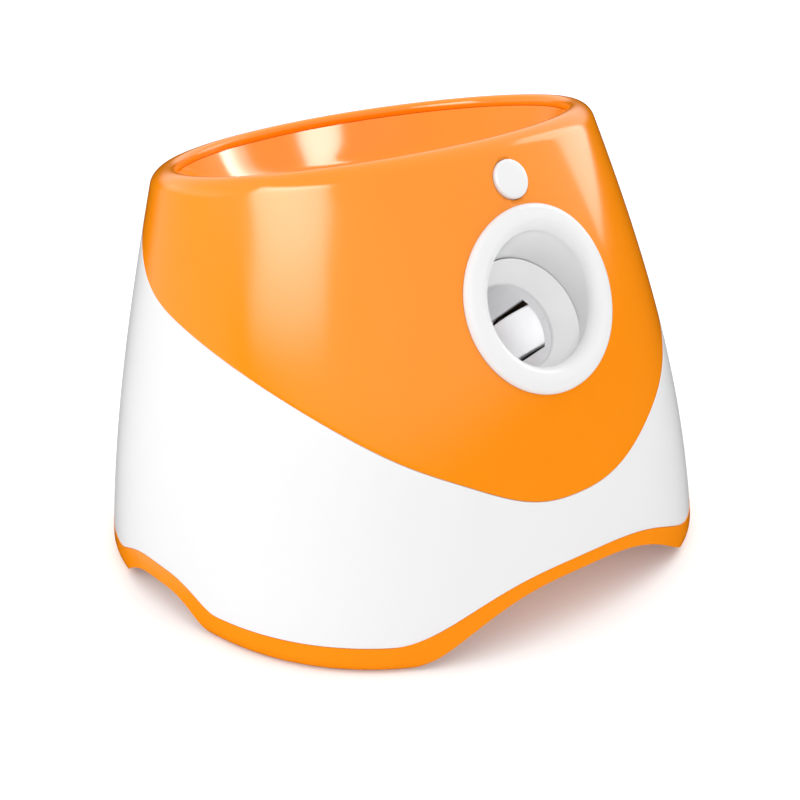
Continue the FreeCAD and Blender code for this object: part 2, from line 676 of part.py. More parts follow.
def foot_pads():
    pads = []
    for x, y in pad_places():
        pad = turned([(0, 0), (PAD_RADIUS - 1, 0), (PAD_RADIUS, 1), (PAD_RADIUS, PAD_THICKNESS),
                      (0, PAD_THICKNESS)])
        pad.translate(V(x, y, 0))
        pads.append(pad)
    return Part.makeCompound(pads)


def beyond_casing(point):
    """Under 1 inside the casing's oval at the point's height, over 1 outside it."""
    front, back = front_at(point.z), back_at(point.z)
    squareness = BASE_SQUARENESS + (RIM_SQUARENESS - BASE_SQUARENESS) * point.z / RIM_HEIGHT
    across_share = abs(point.x) / (half_width_at(point.z) + BEZEL_PROUD)
    along_share = abs(point.y - (back - front) / 2) / ((front + back) / 2 + BEZEL_PROUD)
    return across_share ** squareness + along_share ** squareness


def bezel_ring(radius, sink):
    """Ring round the port that follows the curved casing, a little below the bezel's proud face."""
    points = []
    for angle in ring_angles():
        x, y = radius * math.sin(angle), radius * math.cos(angle)
        low, high = -BEZEL_RADIUS, BEZEL_RADIUS / 2
        for _ in range(40):
            height = (low + high) / 2
            if beyond_casing(PORT.multVec(V(x, y, height))) < 1:
                low = height
            else:
                high = height
        points.append(PORT.multVec(V(x, y, low - sink)))
    return points


def level_ring(placement, radius, height):
    return [placement.multVec(V(radius * math.sin(a), radius * math.cos(a), height)) for a in ring_angles()]


def port_bezel():
    inner = MUZZLE_RADIUS + MUZZLE_GAP
    edge, lip = BEZEL_EDGE_RADIUS, BEZEL_LIP_ROUND
    # Up the outside, over the rounded edge, across the face and over the rounded lip
    rings = [level_ring(PORT, BEZEL_RADIUS, -BEZEL_RADIUS), bezel_ring(BEZEL_RADIUS, 4 * edge)]
    rings.append(bezel_ring(BEZEL_RADIUS, 2 * edge))
    for turn in (0, 30, 60, 90):
        a = math.radians(turn)
        rings.append(bezel_ring(BEZEL_RADIUS - edge * (1 - math.cos(a)), edge * (1 - math.sin(a))))
    rings.append(bezel_ring((BEZEL_RADIUS - edge + BEZEL_LIP_RADIUS + lip) / 2, 0.0))
    for turn in (90, 65, 40, 20, 0):
        a = math.radians(turn)
        rings.append(bezel_ring(BEZEL_LIP_RADIUS + lip * (1 - math.cos(a)), lip * (1 - math.sin(a))))
    # Down the sleeve to the muzzle
    lip_edge = rings[-1]
    sleeve_end = level_ring(LAUNCH, inner, -BEZEL_SLEEVE_DEPTH)
    for share in (1 / 3, 2 / 3):
        rings.append([a + (b - a) * share for a, b in zip(lip_edge, sleeve_end)])
    rings.append(sleeve_end)
    rings.append(level_ring(LAUNCH, inner, -2 * BEZEL_SLEEVE_DEPTH))
    body = skin(rings)
    flange = body.cut(rim_volume(-FIT_GAP, 45.0, LIP_DEPTH))
    return flange.fuse(body.common(sleeve_volume(0.0))).removeSplitter()


def board_hole_places():
    x0 = BOARD_X
    x1 = BOARD_X + BOARD_WIDTH
    inset = BOARD_HOLE_INSET
    y = BOARD_DEPTH / 2 - inset
    return [(x, sy * y) for x in (x0 + inset, x1 - inset) for sy in (-1, 1)]


# ---------------------------------------------------------------- barrel and muzzle
def muzzle():
    seat = BARREL_RADIUS + 0.1
    depth = MUZZLE_CONE_DEPTH
    outer = seat + MUZZLE_COLLAR_WALL
    ring_shape = turned([(MUZZLE_RADIUS, 0), (BORE_RADIUS, -depth), (BORE_RADIUS, -depth - 1.8),
                         (seat, -depth - 1.8), (seat, -depth - MUZZLE_SEAT), (outer, -depth - MUZZLE_SEAT),
                         (outer, -depth - 2), (MUZZLE_RADIUS, -MUZZLE_EDGE)])
    return at(LAUNCH, ring_shape)


FLANGE_START = WHEEL_DEPTH + WHEEL_RADIUS       # the flanges begin behind the wheels


def wheel_window():
    """Opening across the barrel, in the launch frame, that lets both wheels reach the ball."""
    tall = WHEEL_WIDTH / 2 + WHEEL_WINDOW_GAP
    wide = CHUTE_RADIUS + CHUTE_WALL + 1
    return box(-wide, wide, -tall, tall, -WHEEL_DEPTH - WHEEL_WINDOW_HALF, -WHEEL_DEPTH + WHEEL_WINDOW_HALF)


def barrel_half(side):
    """Half of the barrel with its wheel windows and screw flanges, in the launch frame; +1 is the top."""
    low = -BARREL_LENGTH
    high = -MUZZLE_CONE_DEPTH - 2.0
    tube = cylinder(BARREL_RADIUS, low - BREECH_WALL, high).cut(cylinder(BORE_RADIUS, low, high + 1))
    for sx in (-1, 1):
        x0, x1 = sorted((sx * (BORE_RADIUS + 1), sx * (BARREL_RADIUS + FLANGE_WIDTH)))
        tube = tube.fuse(box(x0, x1, -FLANGE_THICKNESS, FLANGE_THICKNESS, low - BREECH_WALL, -FLANGE_START))
    tube = tube.cut(cylinder(BORE_RADIUS, low, high + 1)).cut(wheel_window())
    keep = box(-FAR, FAR, *sorted((side * SEAM_GAP / 4, side * FAR)), -FAR, FAR)
    return tube.common(keep)


def barrel_screw_places():
    x = BARREL_RADIUS + FLANGE_WIDTH / 2 + 0.5
    middle_z = -(BARREL_LENGTH + BREECH_WALL + FLANGE_START) / 2
    return [(sx * x, middle_z) for sx in (-1, 1)]


def launch_frame():
    half = barrel_half(-1)
    plate_top = -WHEEL_WIDTH / 2 - MOTOR_PLATE_GAP
    reach = MOTOR_RADIUS + MOTOR_PLATE_EDGE
    for sx in (-1, 1):
        x0, x1 = sorted((sx * (BORE_RADIUS - 3.5), sx * (WHEEL_X + reach)))
        plate = box(x0, x1, plate_top - MOTOR_PLATE, plate_top, -WHEEL_DEPTH - reach, -WHEEL_DEPTH + reach)
        plate = plate.cut(cylinder(BORE_RADIUS, -FAR, FAR))
        # Turned-down edges stiffen the plate
        for z in (-WHEEL_DEPTH - reach, -WHEEL_DEPTH + reach - MOTOR_PLATE):
            edge = box(x0, x1, plate_top - 7, plate_top, z, z + MOTOR_PLATE)
            plate = plate.fuse(edge.cut(cylinder(BORE_RADIUS, -FAR, FAR)))
        half = half.fuse(plate)
        centre = V(sx * WHEEL_X, 0, -WHEEL_DEPTH)
        half = half.cut(cylinder(MOTOR_BOSS_RADIUS + 0.1, -FAR, 0, Y_AXIS, centre))
        for turn in (-1, 1):
            hole = centre + V(0, 0, turn * MOTOR_SCREW_SPACING / 2)
            half = half.cut(cylinder(SCREW_RADIUS + SCREW_CLEARANCE, -FAR, 0, Y_AXIS, hole))
    for x, z in barrel_screw_places():
        half = half.cut(cylinder(SCREW_RADIUS + 0.05, -20, 20, Y_AXIS, V(x, 0, z)))
    frame = at(LAUNCH, half)
    under = -BARREL_RADIUS * 0.62
    top_back = LAUNCH.multVec(V(0, under, -BARREL_LENGTH + 1))
    top_front = LAUNCH.multVec(V(0, under, -BARREL_LENGTH * 0.36))
    bore = at(LAUNCH, cylinder(BORE_RADIUS + 0.5, -FAR, FAR))
    for sx in (-1, 1):
        x0, x1 = sorted((sx * WEB_X, sx * (WEB_X + WEB_THICKNESS)))
        corners = [(WEB_FRONT_Y, FLOOR_TOP), (WEB_BACK_Y, FLOOR_TOP), (top_back.y, top_back.z),
                   (top_front.y, top_front.z)]
        web = plate_across_x(corners, x0, x1).cut(bore)
        middle_y = (WEB_FRONT_Y + WEB_BACK_Y) / 2
        web = web.cut(cylinder(10, -FAR, FAR, X_AXIS, V(0, middle_y, FLOOR_TOP + 26)))
        f0, f1 = sorted((sx * WEB_X, sx * (WEB_X + FRAME_FOOT_WIDTH)))
        foot = box(f0, f1, WEB_FRONT_Y, WEB_BACK_Y, FLOOR_TOP, FLOOR_TOP + FRAME_FOOT_THICKNESS)
        frame = frame.fuse([web, foot])
    cross = box(-WEB_X - 1, WEB_X + 1, WEB_BACK_Y - 3, WEB_BACK_Y, FLOOR_TOP, FLOOR_TOP + 30)
    frame = frame.fuse(cross)
    foot_top = FLOOR_TOP + FRAME_FOOT_THICKNESS
    for x, y in frame_screw_places():
        frame = frame.cut(cylinder(SCREW_RADIUS + 0.05, FLOOR_TOP - 1, foot_top + 1, Z_AXIS, V(x, y, 0)))
    return frame.removeSplitter()


# ---------------------------------------------------------------- launch wheels and motors
def wheel_place(side):
    """Frame at the middle of a wheel: Z along the motor's axis, towards the motor is -Z."""
    lying = FreeCAD.Placement(V(side * WHEEL_X, 0, -WHEEL_DEPTH), FreeCAD.Rotation(X_AXIS, -90))
    return LAUNCH.multiply(lying)


def wheel_tyre(side):
    half = WHEEL_WIDTH / 2
    inner = WHEEL_RADIUS - TYRE_THICKNESS
    r = WHEEL_RADIUS - TYRE_ROUND
    profile = [(inner, -half), (r, -half), (WHEEL_RADIUS, -half + TYRE_ROUND), (WHEEL_RADIUS, half - TYRE_ROUND),
               (r, half), (inner, half)]
    return at(wheel_place(side), turned(profile))


def wheel_hub(side):
    half = WHEEL_WIDTH / 2
    outer = WHEEL_RADIUS - TYRE_THICKNESS
    web = HUB_WEB / 2
    hub = turned([(SHAFT_RADIUS, -half + 1), (HUB_BOSS_RADIUS, -half + 1), (HUB_BOSS_RADIUS, -web),
                  (outer - HUB_RIM, -web), (outer - HUB_RIM, -half), (outer, -half), (outer, half),
                  (outer - HUB_RIM, half), (outer - HUB_RIM, web), (HUB_BOSS_RADIUS, web),
                  (HUB_BOSS_RADIUS, half - 1), (SHAFT_RADIUS, half - 1)])
    ring_radius = (HUB_BOSS_RADIUS + outer - HUB_RIM) / 2
    for k in range(HUB_HOLES):
        a = 2 * math.pi * k / HUB_HOLES
        place = V(ring_radius * math.cos(a), ring_radius * math.sin(a), 0)
        hub = hub.cut(cylinder(HUB_HOLE_RADIUS, -half, half, Z_AXIS, place))
    return at(wheel_place(side), hub)


MOTOR_FACE = -(WHEEL_WIDTH / 2 + MOTOR_PLATE_GAP + MOTOR_PLATE)      # along the wheel's axis


def motor_shaft(side):
    end = WHEEL_WIDTH / 2
    shaft = turned([(0, MOTOR_FACE - 5), (SHAFT_RADIUS, MOTOR_FACE - 5), (SHAFT_RADIUS, end - 0.5),
                    (SHAFT_RADIUS - 0.5, end), (0, end)])
    return at(wheel_place(side), shaft)


def motor(side):
    bore = SHAFT_RADIUS + RUNNING_FIT
    top = MOTOR_FACE
    can = turned([(bore, top + MOTOR_BOSS_HEIGHT), (MOTOR_BOSS_RADIUS, top + MOTOR_BOSS_HEIGHT),
                  (MOTOR_BOSS_RADIUS, top), (MOTOR_RADIUS - 1, top), (MOTOR_RADIUS, top - 1),
                  (MOTOR_RADIUS, top - MOTOR_LENGTH),
                  (0, top - MOTOR_LENGTH), (0, top - 6), (bore, top - 6)])
    for turn in (-1, 1):
        hole = V(0, turn * MOTOR_SCREW_SPACING / 2, 0)
        can = can.cut(cylinder(SCREW_RADIUS + 0.05, top - 7, top + 1, Z_AXIS, hole))
    return at(wheel_place(side), can)


def motor_cap(side):
    top = MOTOR_FACE - MOTOR_LENGTH
    cap = turned([(0, top), (MOTOR_CAP_RADIUS, top), (MOTOR_CAP_RADIUS, top - MOTOR_CAP_LENGTH + 1),
                  (MOTOR_CAP_RADIUS - 1, top - MOTOR_CAP_LENGTH), (4.5, top - MOTOR_CAP_LENGTH),
                  (4.5, top - MOTOR_CAP_LENGTH - 2), (0, top - MOTOR_CAP_LENGTH - 2)])
    end = top - MOTOR_CAP_LENGTH
    for turn in (-1, 1):
        tab = box(-1.4, 1.4, turn * 10 - 0.4, turn * 10 + 0.4, end - 6, end + 1)
        cap = cap.fuse(tab)
    return at(wheel_place(side), cap)


def motor_screws():
    group = []
    for side in (-1, 1):
        for turn in (-1, 1):
            seat = V(0, turn * MOTOR_SCREW_SPACING / 2, MOTOR_FACE + MOTOR_PLATE)
            place = wheel_place(side).multiply(FreeCAD.Placement(seat, FreeCAD.Rotation()))
            group.append(at(place, screw(SHORT_SCREW)))
    return Part.makeCompound(group)


# ---------------------------------------------------------------- feed chute and gate
GATE_PIVOT = V(0, GATE_PIVOT_OUT, GATE_PIVOT_UP)        # in the chute's frame


def feed_chute():
    """Upper half of the barrel, the chute and the riser to the funnel, moulded in one."""
    outer = CHUTE_RADIUS + CHUTE_WALL
    heel = CHUTE.multVec(V(0, 0, CHUTE_TOP))
    riser_at = V(0, THROAT_Y, 0)
    outside = at(CHUTE, cylinder(outer, -CHUTE_LAP, CHUTE_TOP))
    riser = cylinder(outer, heel.z, THROAT_Z - SEAM_GAP, Z_AXIS, riser_at)
    outside = outside.fuse([riser, Part.makeSphere(outer, heel)])
    ear_in = GATE_ARM_WIDTH / 2 + GATE_SLOT_MARGIN
    for sx in (-1, 1):
        x0, x1 = sorted((sx * ear_in, sx * (ear_in + EAR_THICKNESS)))
        foot = box(x0, x1, CHUTE_RADIUS, GATE_PIVOT_OUT,
                   GATE_PIVOT_UP - GATE_BOSS_RADIUS, GATE_PIVOT_UP + GATE_BOSS_RADIUS)
        outside = outside.fuse(at(CHUTE, cylinder(GATE_BOSS_RADIUS, x0, x1, X_AXIS, GATE_PIVOT).fuse(foot)))
    outside = outside.common(at(LAUNCH, box(-FAR, FAR, SEAM_GAP / 4, FAR, -FAR, FAR)))
    outside = outside.common(box(-FAR, FAR, -FAR, FAR, 0, THROAT_Z - SEAM_GAP))
    outside = outside.fuse(at(LAUNCH, barrel_half(1)))
    hollows = [at(LAUNCH, cylinder(BORE_RADIUS, -BARREL_LENGTH, 0)), at(LAUNCH, wheel_window()),
               at(CHUTE, cylinder(CHUTE_RADIUS, -CHUTE_LAP - 5, CHUTE_TOP)), Part.makeSphere(CHUTE_RADIUS, heel),
               cylinder(CHUTE_RADIUS, heel.z, THROAT_Z + 1, Z_AXIS, riser_at)]
    low = GATE_PIVOT_UP - GATE_ARM_LENGTH - GATE_SLOT_MARGIN
    hollows.append(at(CHUTE, box(-ear_in, ear_in, CHUTE_RADIUS * 0.6, GATE_PIVOT_OUT + GATE_BOSS_RADIUS + 3,
                                 low, GATE_PIVOT_UP + GATE_BOSS_RADIUS + 2)))
    hollows.append(at(CHUTE, cylinder(GATE_SHAFT_RADIUS + RUNNING_FIT, -20, 20, X_AXIS, GATE_PIVOT)))
    for sx in (-1, 1):
        x0, x1 = sorted((sx * (CHUTE_RADIUS - 5), sx * (outer + 8)))
        led_at = V(0, 0, SENSOR_UP - GATE_PIVOT_UP)
        hollows.append(at(CHUTE, cylinder(SENSOR_LED_RADIUS + 0.2, x0, x1, X_AXIS, led_at)))
    for x, z in barrel_screw_places():
        hollows.append(at(LAUNCH, cylinder(SCREW_RADIUS + SCREW_CLEARANCE, -5, 12, Y_AXIS, V(x, 0, z))))
    chute = outside
    for hollow in hollows:
        chute = chute.cut(hollow)
    return chute.removeSplitter()


def gate_arm():
    half = GATE_ARM_WIDTH / 2
    tip = GATE_ARM_THICKNESS / 2
    px, py, pz = GATE_PIVOT
    arm = cylinder(GATE_BOSS_RADIUS, -half, half, X_AXIS, GATE_PIVOT)
    arm = arm.fuse(box(-half, half, py - GATE_ARM_LENGTH + tip, py, pz - tip, pz + tip))
    arm = arm.fuse(cylinder(tip, -half, half, X_AXIS, V(0, py - GATE_ARM_LENGTH + tip, pz)))
    arm = arm.cut(cylinder(GATE_SHAFT_RADIUS, -FAR, FAR, X_AXIS, GATE_PIVOT))
    return at(CHUTE, arm.removeSplitter())


def gate_shaft():
    start = -(GATE_ARM_WIDTH / 2 + GATE_SLOT_MARGIN + EAR_THICKNESS + 1.5)
    return at(CHUTE, cylinder(GATE_SHAFT_RADIUS, start, GEAR_X + GEAR_WIDTH, X_AXIS, GATE_PIVOT))


def gear_outline(teeth, start_turn):
    """Involute gear wheel in the XY plane as a closed polygon; a tooth's middle lies at the start turn."""
    pitch = GEAR_MODULE * teeth / 2
    base = pitch * math.cos(math.radians(20))
    tip = pitch + GEAR_MODULE
    root = pitch - 1.2 * GEAR_MODULE
    half_tooth = (math.pi * GEAR_MODULE / 2 - GEAR_BACKLASH) / (2 * pitch)

    def roll(radius):
        a = math.acos(min(1.0, base / radius))
        return math.tan(a) - a

    flank = [(root, half_tooth + roll(pitch) + 0.02)]
    for k in range(4):
        radius = max(base, root + 0.1) + (tip - max(base, root + 0.1)) * k / 3
        flank.append((radius, half_tooth + roll(pitch) - roll(radius)))
    points = []
    for tooth in range(teeth):
        middle_turn = math.radians(start_turn) + 2 * math.pi * tooth / teeth
        for radius, half in flank:
            points.append((radius, middle_turn - half))
        for radius, half in reversed(flank):
            points.append((radius, middle_turn + half))
    return [V(r * math.cos(a), r * math.sin(a), 0) for r, a in points]


def gear(teeth, start_turn, bore):
    points = gear_outline(teeth, start_turn)
    wheel = Part.Face(Part.makePolygon(points + points[:1])).extrude(V(0, 0, GEAR_WIDTH))
    return wheel.cut(cylinder(bore, -1, GEAR_WIDTH + 1))


# The gears' frame: Z along +X of the machine, X towards the pinion
GATE_HINGE = CHUTE.multVec(GATE_PIVOT)
GEAR_DISTANCE = GEAR_MODULE * (GATE_TEETH + PINION_TEETH) / 2
PINION_AT = GATE_HINGE + V(0, 0.8, -0.6) * GEAR_DISTANCE


def across(point, x):
    """Frame at a point moved to x, with Z along +X and X along the line to the pinion."""
    facing_x = FreeCAD.Rotation(V(0, 0.8, -0.6), V(0, 0.6, 0.8), X_AXIS, "XYZ")
    return FreeCAD.Placement(V(x, point.y, point.z), facing_x)


def gate_gear():
    wheel = gear(GATE_TEETH, 0.0, GATE_SHAFT_RADIUS)
    wheel = wheel.fuse(cylinder(GATE_BOSS_RADIUS, -3, 0).cut(cylinder(GATE_SHAFT_RADIUS, -4, 1)))
    for k in range(6):
        a = math.radians(60 * k)
        wheel = wheel.cut(cylinder(3.2, -5, GEAR_WIDTH + 5, Z_AXIS, V(11 * math.cos(a), 11 * math.sin(a), 0)))
    return at(across(GATE_HINGE, GEAR_X), wheel.removeSplitter())


def gate_pinion():
    wheel = gear(PINION_TEETH, 180.0 - 180.0 / PINION_TEETH, GATE_MOTOR_SHAFT_RADIUS)
    wheel = wheel.fuse(cylinder(GATE_MOTOR_SHAFT_RADIUS, 0, GATE_MOTOR_X - GEAR_X + 5))
    return at(across(PINION_AT, GEAR_X), wheel.removeSplitter())


def gate_motor():
    bore = GATE_MOTOR_SHAFT_RADIUS + RUNNING_FIT
    boss = BRACKET_THICKNESS - 0.5
    radius, length = GATE_MOTOR_RADIUS, GATE_MOTOR_LENGTH
    can = turned([(bore, -boss), (bore, 6), (0, 6), (0, length + 2), (4, length + 2), (4, length),
                  (radius - 1, length), (radius, length - 1), (radius, 1), (radius - 1, 0),
                  (GATE_MOTOR_BOSS_RADIUS, 0), (GATE_MOTOR_BOSS_RADIUS, -boss)])
    for turn in (-1, 1):
        can = can.cut(cylinder(SCREW_RADIUS - 0.25, -1, 7, Z_AXIS, V(0, turn * 8, 0)))
    return at(across(PINION_AT, GATE_MOTOR_X), can)


def gate_bracket():
    x0 = GATE_MOTOR_X - BRACKET_THICKNESS
    reach = GATE_MOTOR_RADIUS + 2
    corners = [(BRACKET_FRONT_Y, FLOOR_TOP), (BRACKET_BACK_Y, FLOOR_TOP),
               (BRACKET_BACK_Y, PINION_AT.z - reach - 10),
               (PINION_AT.y + reach, PINION_AT.z - reach), (PINION_AT.y + reach, PINION_AT.z + reach),
               (PINION_AT.y - reach, PINION_AT.z + reach), (BRACKET_FRONT_Y, PINION_AT.z - reach)]
    plate = plate_across_x(corners, x0, GATE_MOTOR_X)
    foot_top = FLOOR_TOP + BRACKET_THICKNESS
    rib_back = BRACKET_FRONT_Y + BRACKET_THICKNESS
    foot = box(x0, x0 + BRACKET_FOOT, BRACKET_FRONT_Y, BRACKET_BACK_Y, FLOOR_TOP, foot_top)
    rib = box(x0, GATE_MOTOR_X + 4, BRACKET_FRONT_Y, rib_back, FLOOR_TOP, PINION_AT.z - reach)
    bracket = plate.fuse([foot, rib])
    bracket = bracket.cut(cylinder(GATE_MOTOR_BOSS_RADIUS + 0.1, -FAR, FAR, X_AXIS, PINION_AT))
    for turn in (-1, 1):
        spot = across(PINION_AT, 0).multVec(V(0, turn * 8, 0))
        bracket = bracket.cut(cylinder(SCREW_RADIUS - 0.1, -FAR, FAR, X_AXIS, spot))
    for x, y in bracket_screw_places():
        bracket = bracket.cut(cylinder(SCREW_RADIUS + 0.05, FLOOR_TOP - 1, FLOOR_TOP + 5, Z_AXIS, V(x, y, 0)))
    return bracket.removeSplitter()


def bracket_screws():
    """Small screws that hold the gate motor to its bracket."""
    group = []
    for turn in (-1, 1):
        seat = across(PINION_AT, GATE_MOTOR_X - BRACKET_THICKNESS).multiply(
            FreeCAD.Placement(V(0, turn * 8, 0), FLIPPED))
        group.append(at(seat, small_screw(7.0)))
    return Part.makeCompound(group)


def small_screw(length):
    radius = SCREW_RADIUS - 0.3
    return turned([(0, 1.2), (1.3, 1.2), (2.0, 0.6), (2.0, 0), (radius, 0), (radius, 0.6 - length),
                   (0, -length)])


def sensor(side):
    outer = CHUTE_RADIUS + CHUTE_WALL
    up = SENSOR_UP - GATE_PIVOT_UP
    x0, x1 = sorted((side * (CHUTE_RADIUS + 0.4), side * (outer + 1.2)))
    led = cylinder(SENSOR_LED_RADIUS, x0, x1, X_AXIS, V(0, 0, up))
    half = SENSOR_BODY / 2
    b0, b1 = sorted((side * (outer + 0.2), side * (outer + 5)))
    body = box(b0, b1, -half, half, up - half, up + half)
    return at(CHUTE, led.fuse(body).removeSplitter())


# ---------------------------------------------------------------- button
def button_cap():
    flange_top = -BUTTON_SKIRT
    cap = turned([(0, BUTTON_PROUD + BUTTON_DOME), (BUTTON_RADIUS * 0.35, BUTTON_PROUD + BUTTON_DOME * 0.86),
                  (BUTTON_RADIUS * 0.7, BUTTON_PROUD + BUTTON_DOME * 0.45), (BUTTON_RADIUS - 1.4, BUTTON_PROUD),
                  (BUTTON_RADIUS - 0.4, BUTTON_PROUD - 0.5), (BUTTON_RADIUS, BUTTON_PROUD - 1.4),
                  (BUTTON_RADIUS, flange_top), (BUTTON_RADIUS + BUTTON_FLANGE, flange_top),
                  (BUTTON_RADIUS + BUTTON_FLANGE, flange_top - 1.2), (BUTTON_RADIUS - 1.8, flange_top - 1.2),
                  (BUTTON_RADIUS - 1.8, BUTTON_PROUD - 2.2), (2.4, BUTTON_PROUD - 2.2), (2.4, -BUTTON_BOARD_DEPTH + 5.3),
                  (0, -BUTTON_BOARD_DEPTH + 5.3)])
    return at(BUTTON, cap)


def button_spring():
    """Coil spring of tilted half rings that meet end to end, with a flat half ring at each end."""
    wire = SPRING_WIRE / 2
    low = wire - BUTTON_BOARD_DEPTH
    high = BUTTON_PROUD - 2.2 - wire
    halves = 2 * SPRING_TURNS
    rise = (high - low) / halves
    coil = None
    for k in range(-1, halves + 1):
        flat = k in (-1, halves)
        lean = 0.0 if flat else math.atan2(rise, 2 * SPRING_RADIUS)
        centre = low + rise * min(max(k + 0.5, 0), halves)
        half = Part.makeTorus(SPRING_RADIUS / math.cos(lean), wire, V(0, 0, 0), Z_AXIS, -180, 180, 180)
        if k % 2:
            half.rotate(V(0, 0, 0), Z_AXIS, 180)
            lean = -lean
        half.rotate(V(0, 0, 0), Y_AXIS, math.degrees(lean))
        half.translate(V(0, 0, centre))
        coil = half if coil is None else coil.fuse(half)
    return at(BUTTON, coil)


def button_board():
    half = BUTTON_BOARD_WIDTH / 2
    tall = BUTTON_BOARD_HEIGHT / 2
    board = box(-half, half, -tall, tall, -BUTTON_BOARD_DEPTH - BOARD_THICKNESS, -BUTTON_BOARD_DEPTH)
    for side in (-1, 1):
        board = board.cut(cylinder(SCREW_RADIUS + 0.1, -30, 0, Z_AXIS, V(side * BUTTON_POST_X, 0, 0)))
    return at(BUTTON, board)


def button_switch():
    low = -BUTTON_BOARD_DEPTH
    body = box(-3, 3, -3, 3, low, low + 2.4)
    return at(BUTTON, body.fuse(cylinder(1.6, low + 2.4, low + 3.4)).removeSplitter())


def button_screws():
    group = []
    for side in (-1, 1):
        seat = FreeCAD.Placement(V(side * BUTTON_POST_X, 0, -BUTTON_BOARD_DEPTH - BOARD_THICKNESS), FLIPPED)
        group.append(at(BUTTON.multiply(seat), small_screw(5.5)))
    return Part.makeCompound(group)


# ---------------------------------------------------------------- batteries, board and socket
def battery_box():
    x0, x1, y0, y1 = battery_space()
    wall = BATTERY_BOX_WALL
    top = battery_ceiling()
    shape = box(x0 - wall, x1 + wall, y0 - wall, y1 + wall, FLOOR_TOP, top + wall)
    shape = shape.cut(box(x0, x1, y0, y1, FLOOR_TOP - 1, top))
    for k in range(CELL_COLUMNS - 1):
        x = (k + 0.5 - (CELL_COLUMNS - 1) / 2) * CELL_PITCH
        rib = box(x - 0.5, x + 0.5, y0, y1, top - 5, top)
        shape = shape.fuse(rib)
    # Notches that take the door's hooks
    half = DOOR_HOOK_WIDTH / 2 + DOOR_GAP
    for x in door_hook_places():
        shape = shape.cut(box(x - half, x + half, y0 - wall - 1, y1 + wall + 1, FLOOR_TOP, FLOOR_TOP + 2.5))
    return shape.removeSplitter()


def door_hook_places():
    """The hooks stand between the columns of cells."""
    return [(k + 0.5 - (CELL_COLUMNS - 1) / 2) * CELL_PITCH for k in range(CELL_COLUMNS - 1)]


def battery_cells(column):
    """The two cells of one column, end to end; every other column is turned round."""
    x = (column - (CELL_COLUMNS - 1) / 2) * CELL_PITCH
    z = TRAY_FLOOR + DOOR_THICKNESS + 0.3 + CELL_RADIUS
    way = 1 if column % 2 == 0 else -1
    _, _, y0, y1 = battery_space()
    body = CELL_LENGTH - CELL_NUB_LENGTH
    cells = []
    for k in range(CELL_ROWS):
        start = V(x, (y0 + y1) / 2 + way * (k - CELL_ROWS / 2) * CELL_LENGTH, z)
        nub_end = CELL_LENGTH - 0.02
        can = turned([(0, 0), (CELL_RADIUS - 0.6, 0), (CELL_RADIUS, 0.6), (CELL_RADIUS, body - 0.6),
                      (CELL_RADIUS - 0.6, body), (CELL_NUB_RADIUS, body), (CELL_NUB_RADIUS, nub_end),
                      (0, nub_end)])
        can.Placement = FreeCAD.Placement(start, FreeCAD.Rotation(X_AXIS, -90 * way))
        cells.append(can)
    return cells


def battery_contacts():
    """Plates against the nubs and the flat ends of the cells."""
    _, _, y0, y1 = battery_space()
    z = TRAY_FLOOR + DOOR_THICKNESS + 0.3 + CELL_RADIUS
    plates = []
    for column in range(CELL_COLUMNS):
        x = (column - (CELL_COLUMNS - 1) / 2) * CELL_PITCH
        for wall, inwards in ((y0, 1), (y1, -1)):
            a, b = sorted((wall + inwards * 0.05, wall + inwards * 0.65))
            plate = box(x - 8, x + 8, a, b, z - 8, z + 8)
            c, d = sorted((wall + inwards * 0.6, wall + inwards * (CONTACT_SPACE - 0.1)))
            centre = V(x, 0, z)
            cup = cylinder(4.0, c, d, Y_AXIS, centre).cut(cylinder(3.2, c - 1, d + 1, Y_AXIS, centre))
            plates.append(plate.fuse(cup))
    return Part.makeCompound(plates)


def battery_door():
    x0, x1, y0, y1 = battery_space()
    edge = DOOR_LEDGE - DOOR_GAP
    door = box(x0 - edge, x1 + edge, y0 - edge, y1 + edge, TRAY_FLOOR, TRAY_FLOOR + DOOR_THICKNESS)
    # Finger recess near the front edge
    door = door.cut(cylinder(40, x0 / 4, -x0 / 4, X_AXIS, V(0, y0 + 10, TRAY_FLOOR - 39)))
    # Hooks that reach over the tray's floor: rigid ones at the back, snaps at the front
    half = DOOR_HOOK_WIDTH / 2
    foot = TRAY_FLOOR + DOOR_THICKNESS
    for x in door_hook_places():
        for wall, outwards, reach in ((y1, 1, DOOR_HOOK_REACH), (y0, -1, DOOR_HOOK_REACH / 2)):
            a, b = sorted((wall - outwards * DOOR_GAP, wall - outwards * (DOOR_GAP + DOOR_HOOK_THICKNESS)))
            post = box(x - half, x + half, a, b, foot - 0.5, FLOOR_TOP + 2.0)
            c, d = sorted((wall - outwards * DOOR_GAP, wall + outwards * reach))
            hook = box(x - half, x + half, c, d, FLOOR_TOP + DOOR_GAP, FLOOR_TOP + 2.0)
            door = door.fuse([post, hook])
    return door.removeSplitter()


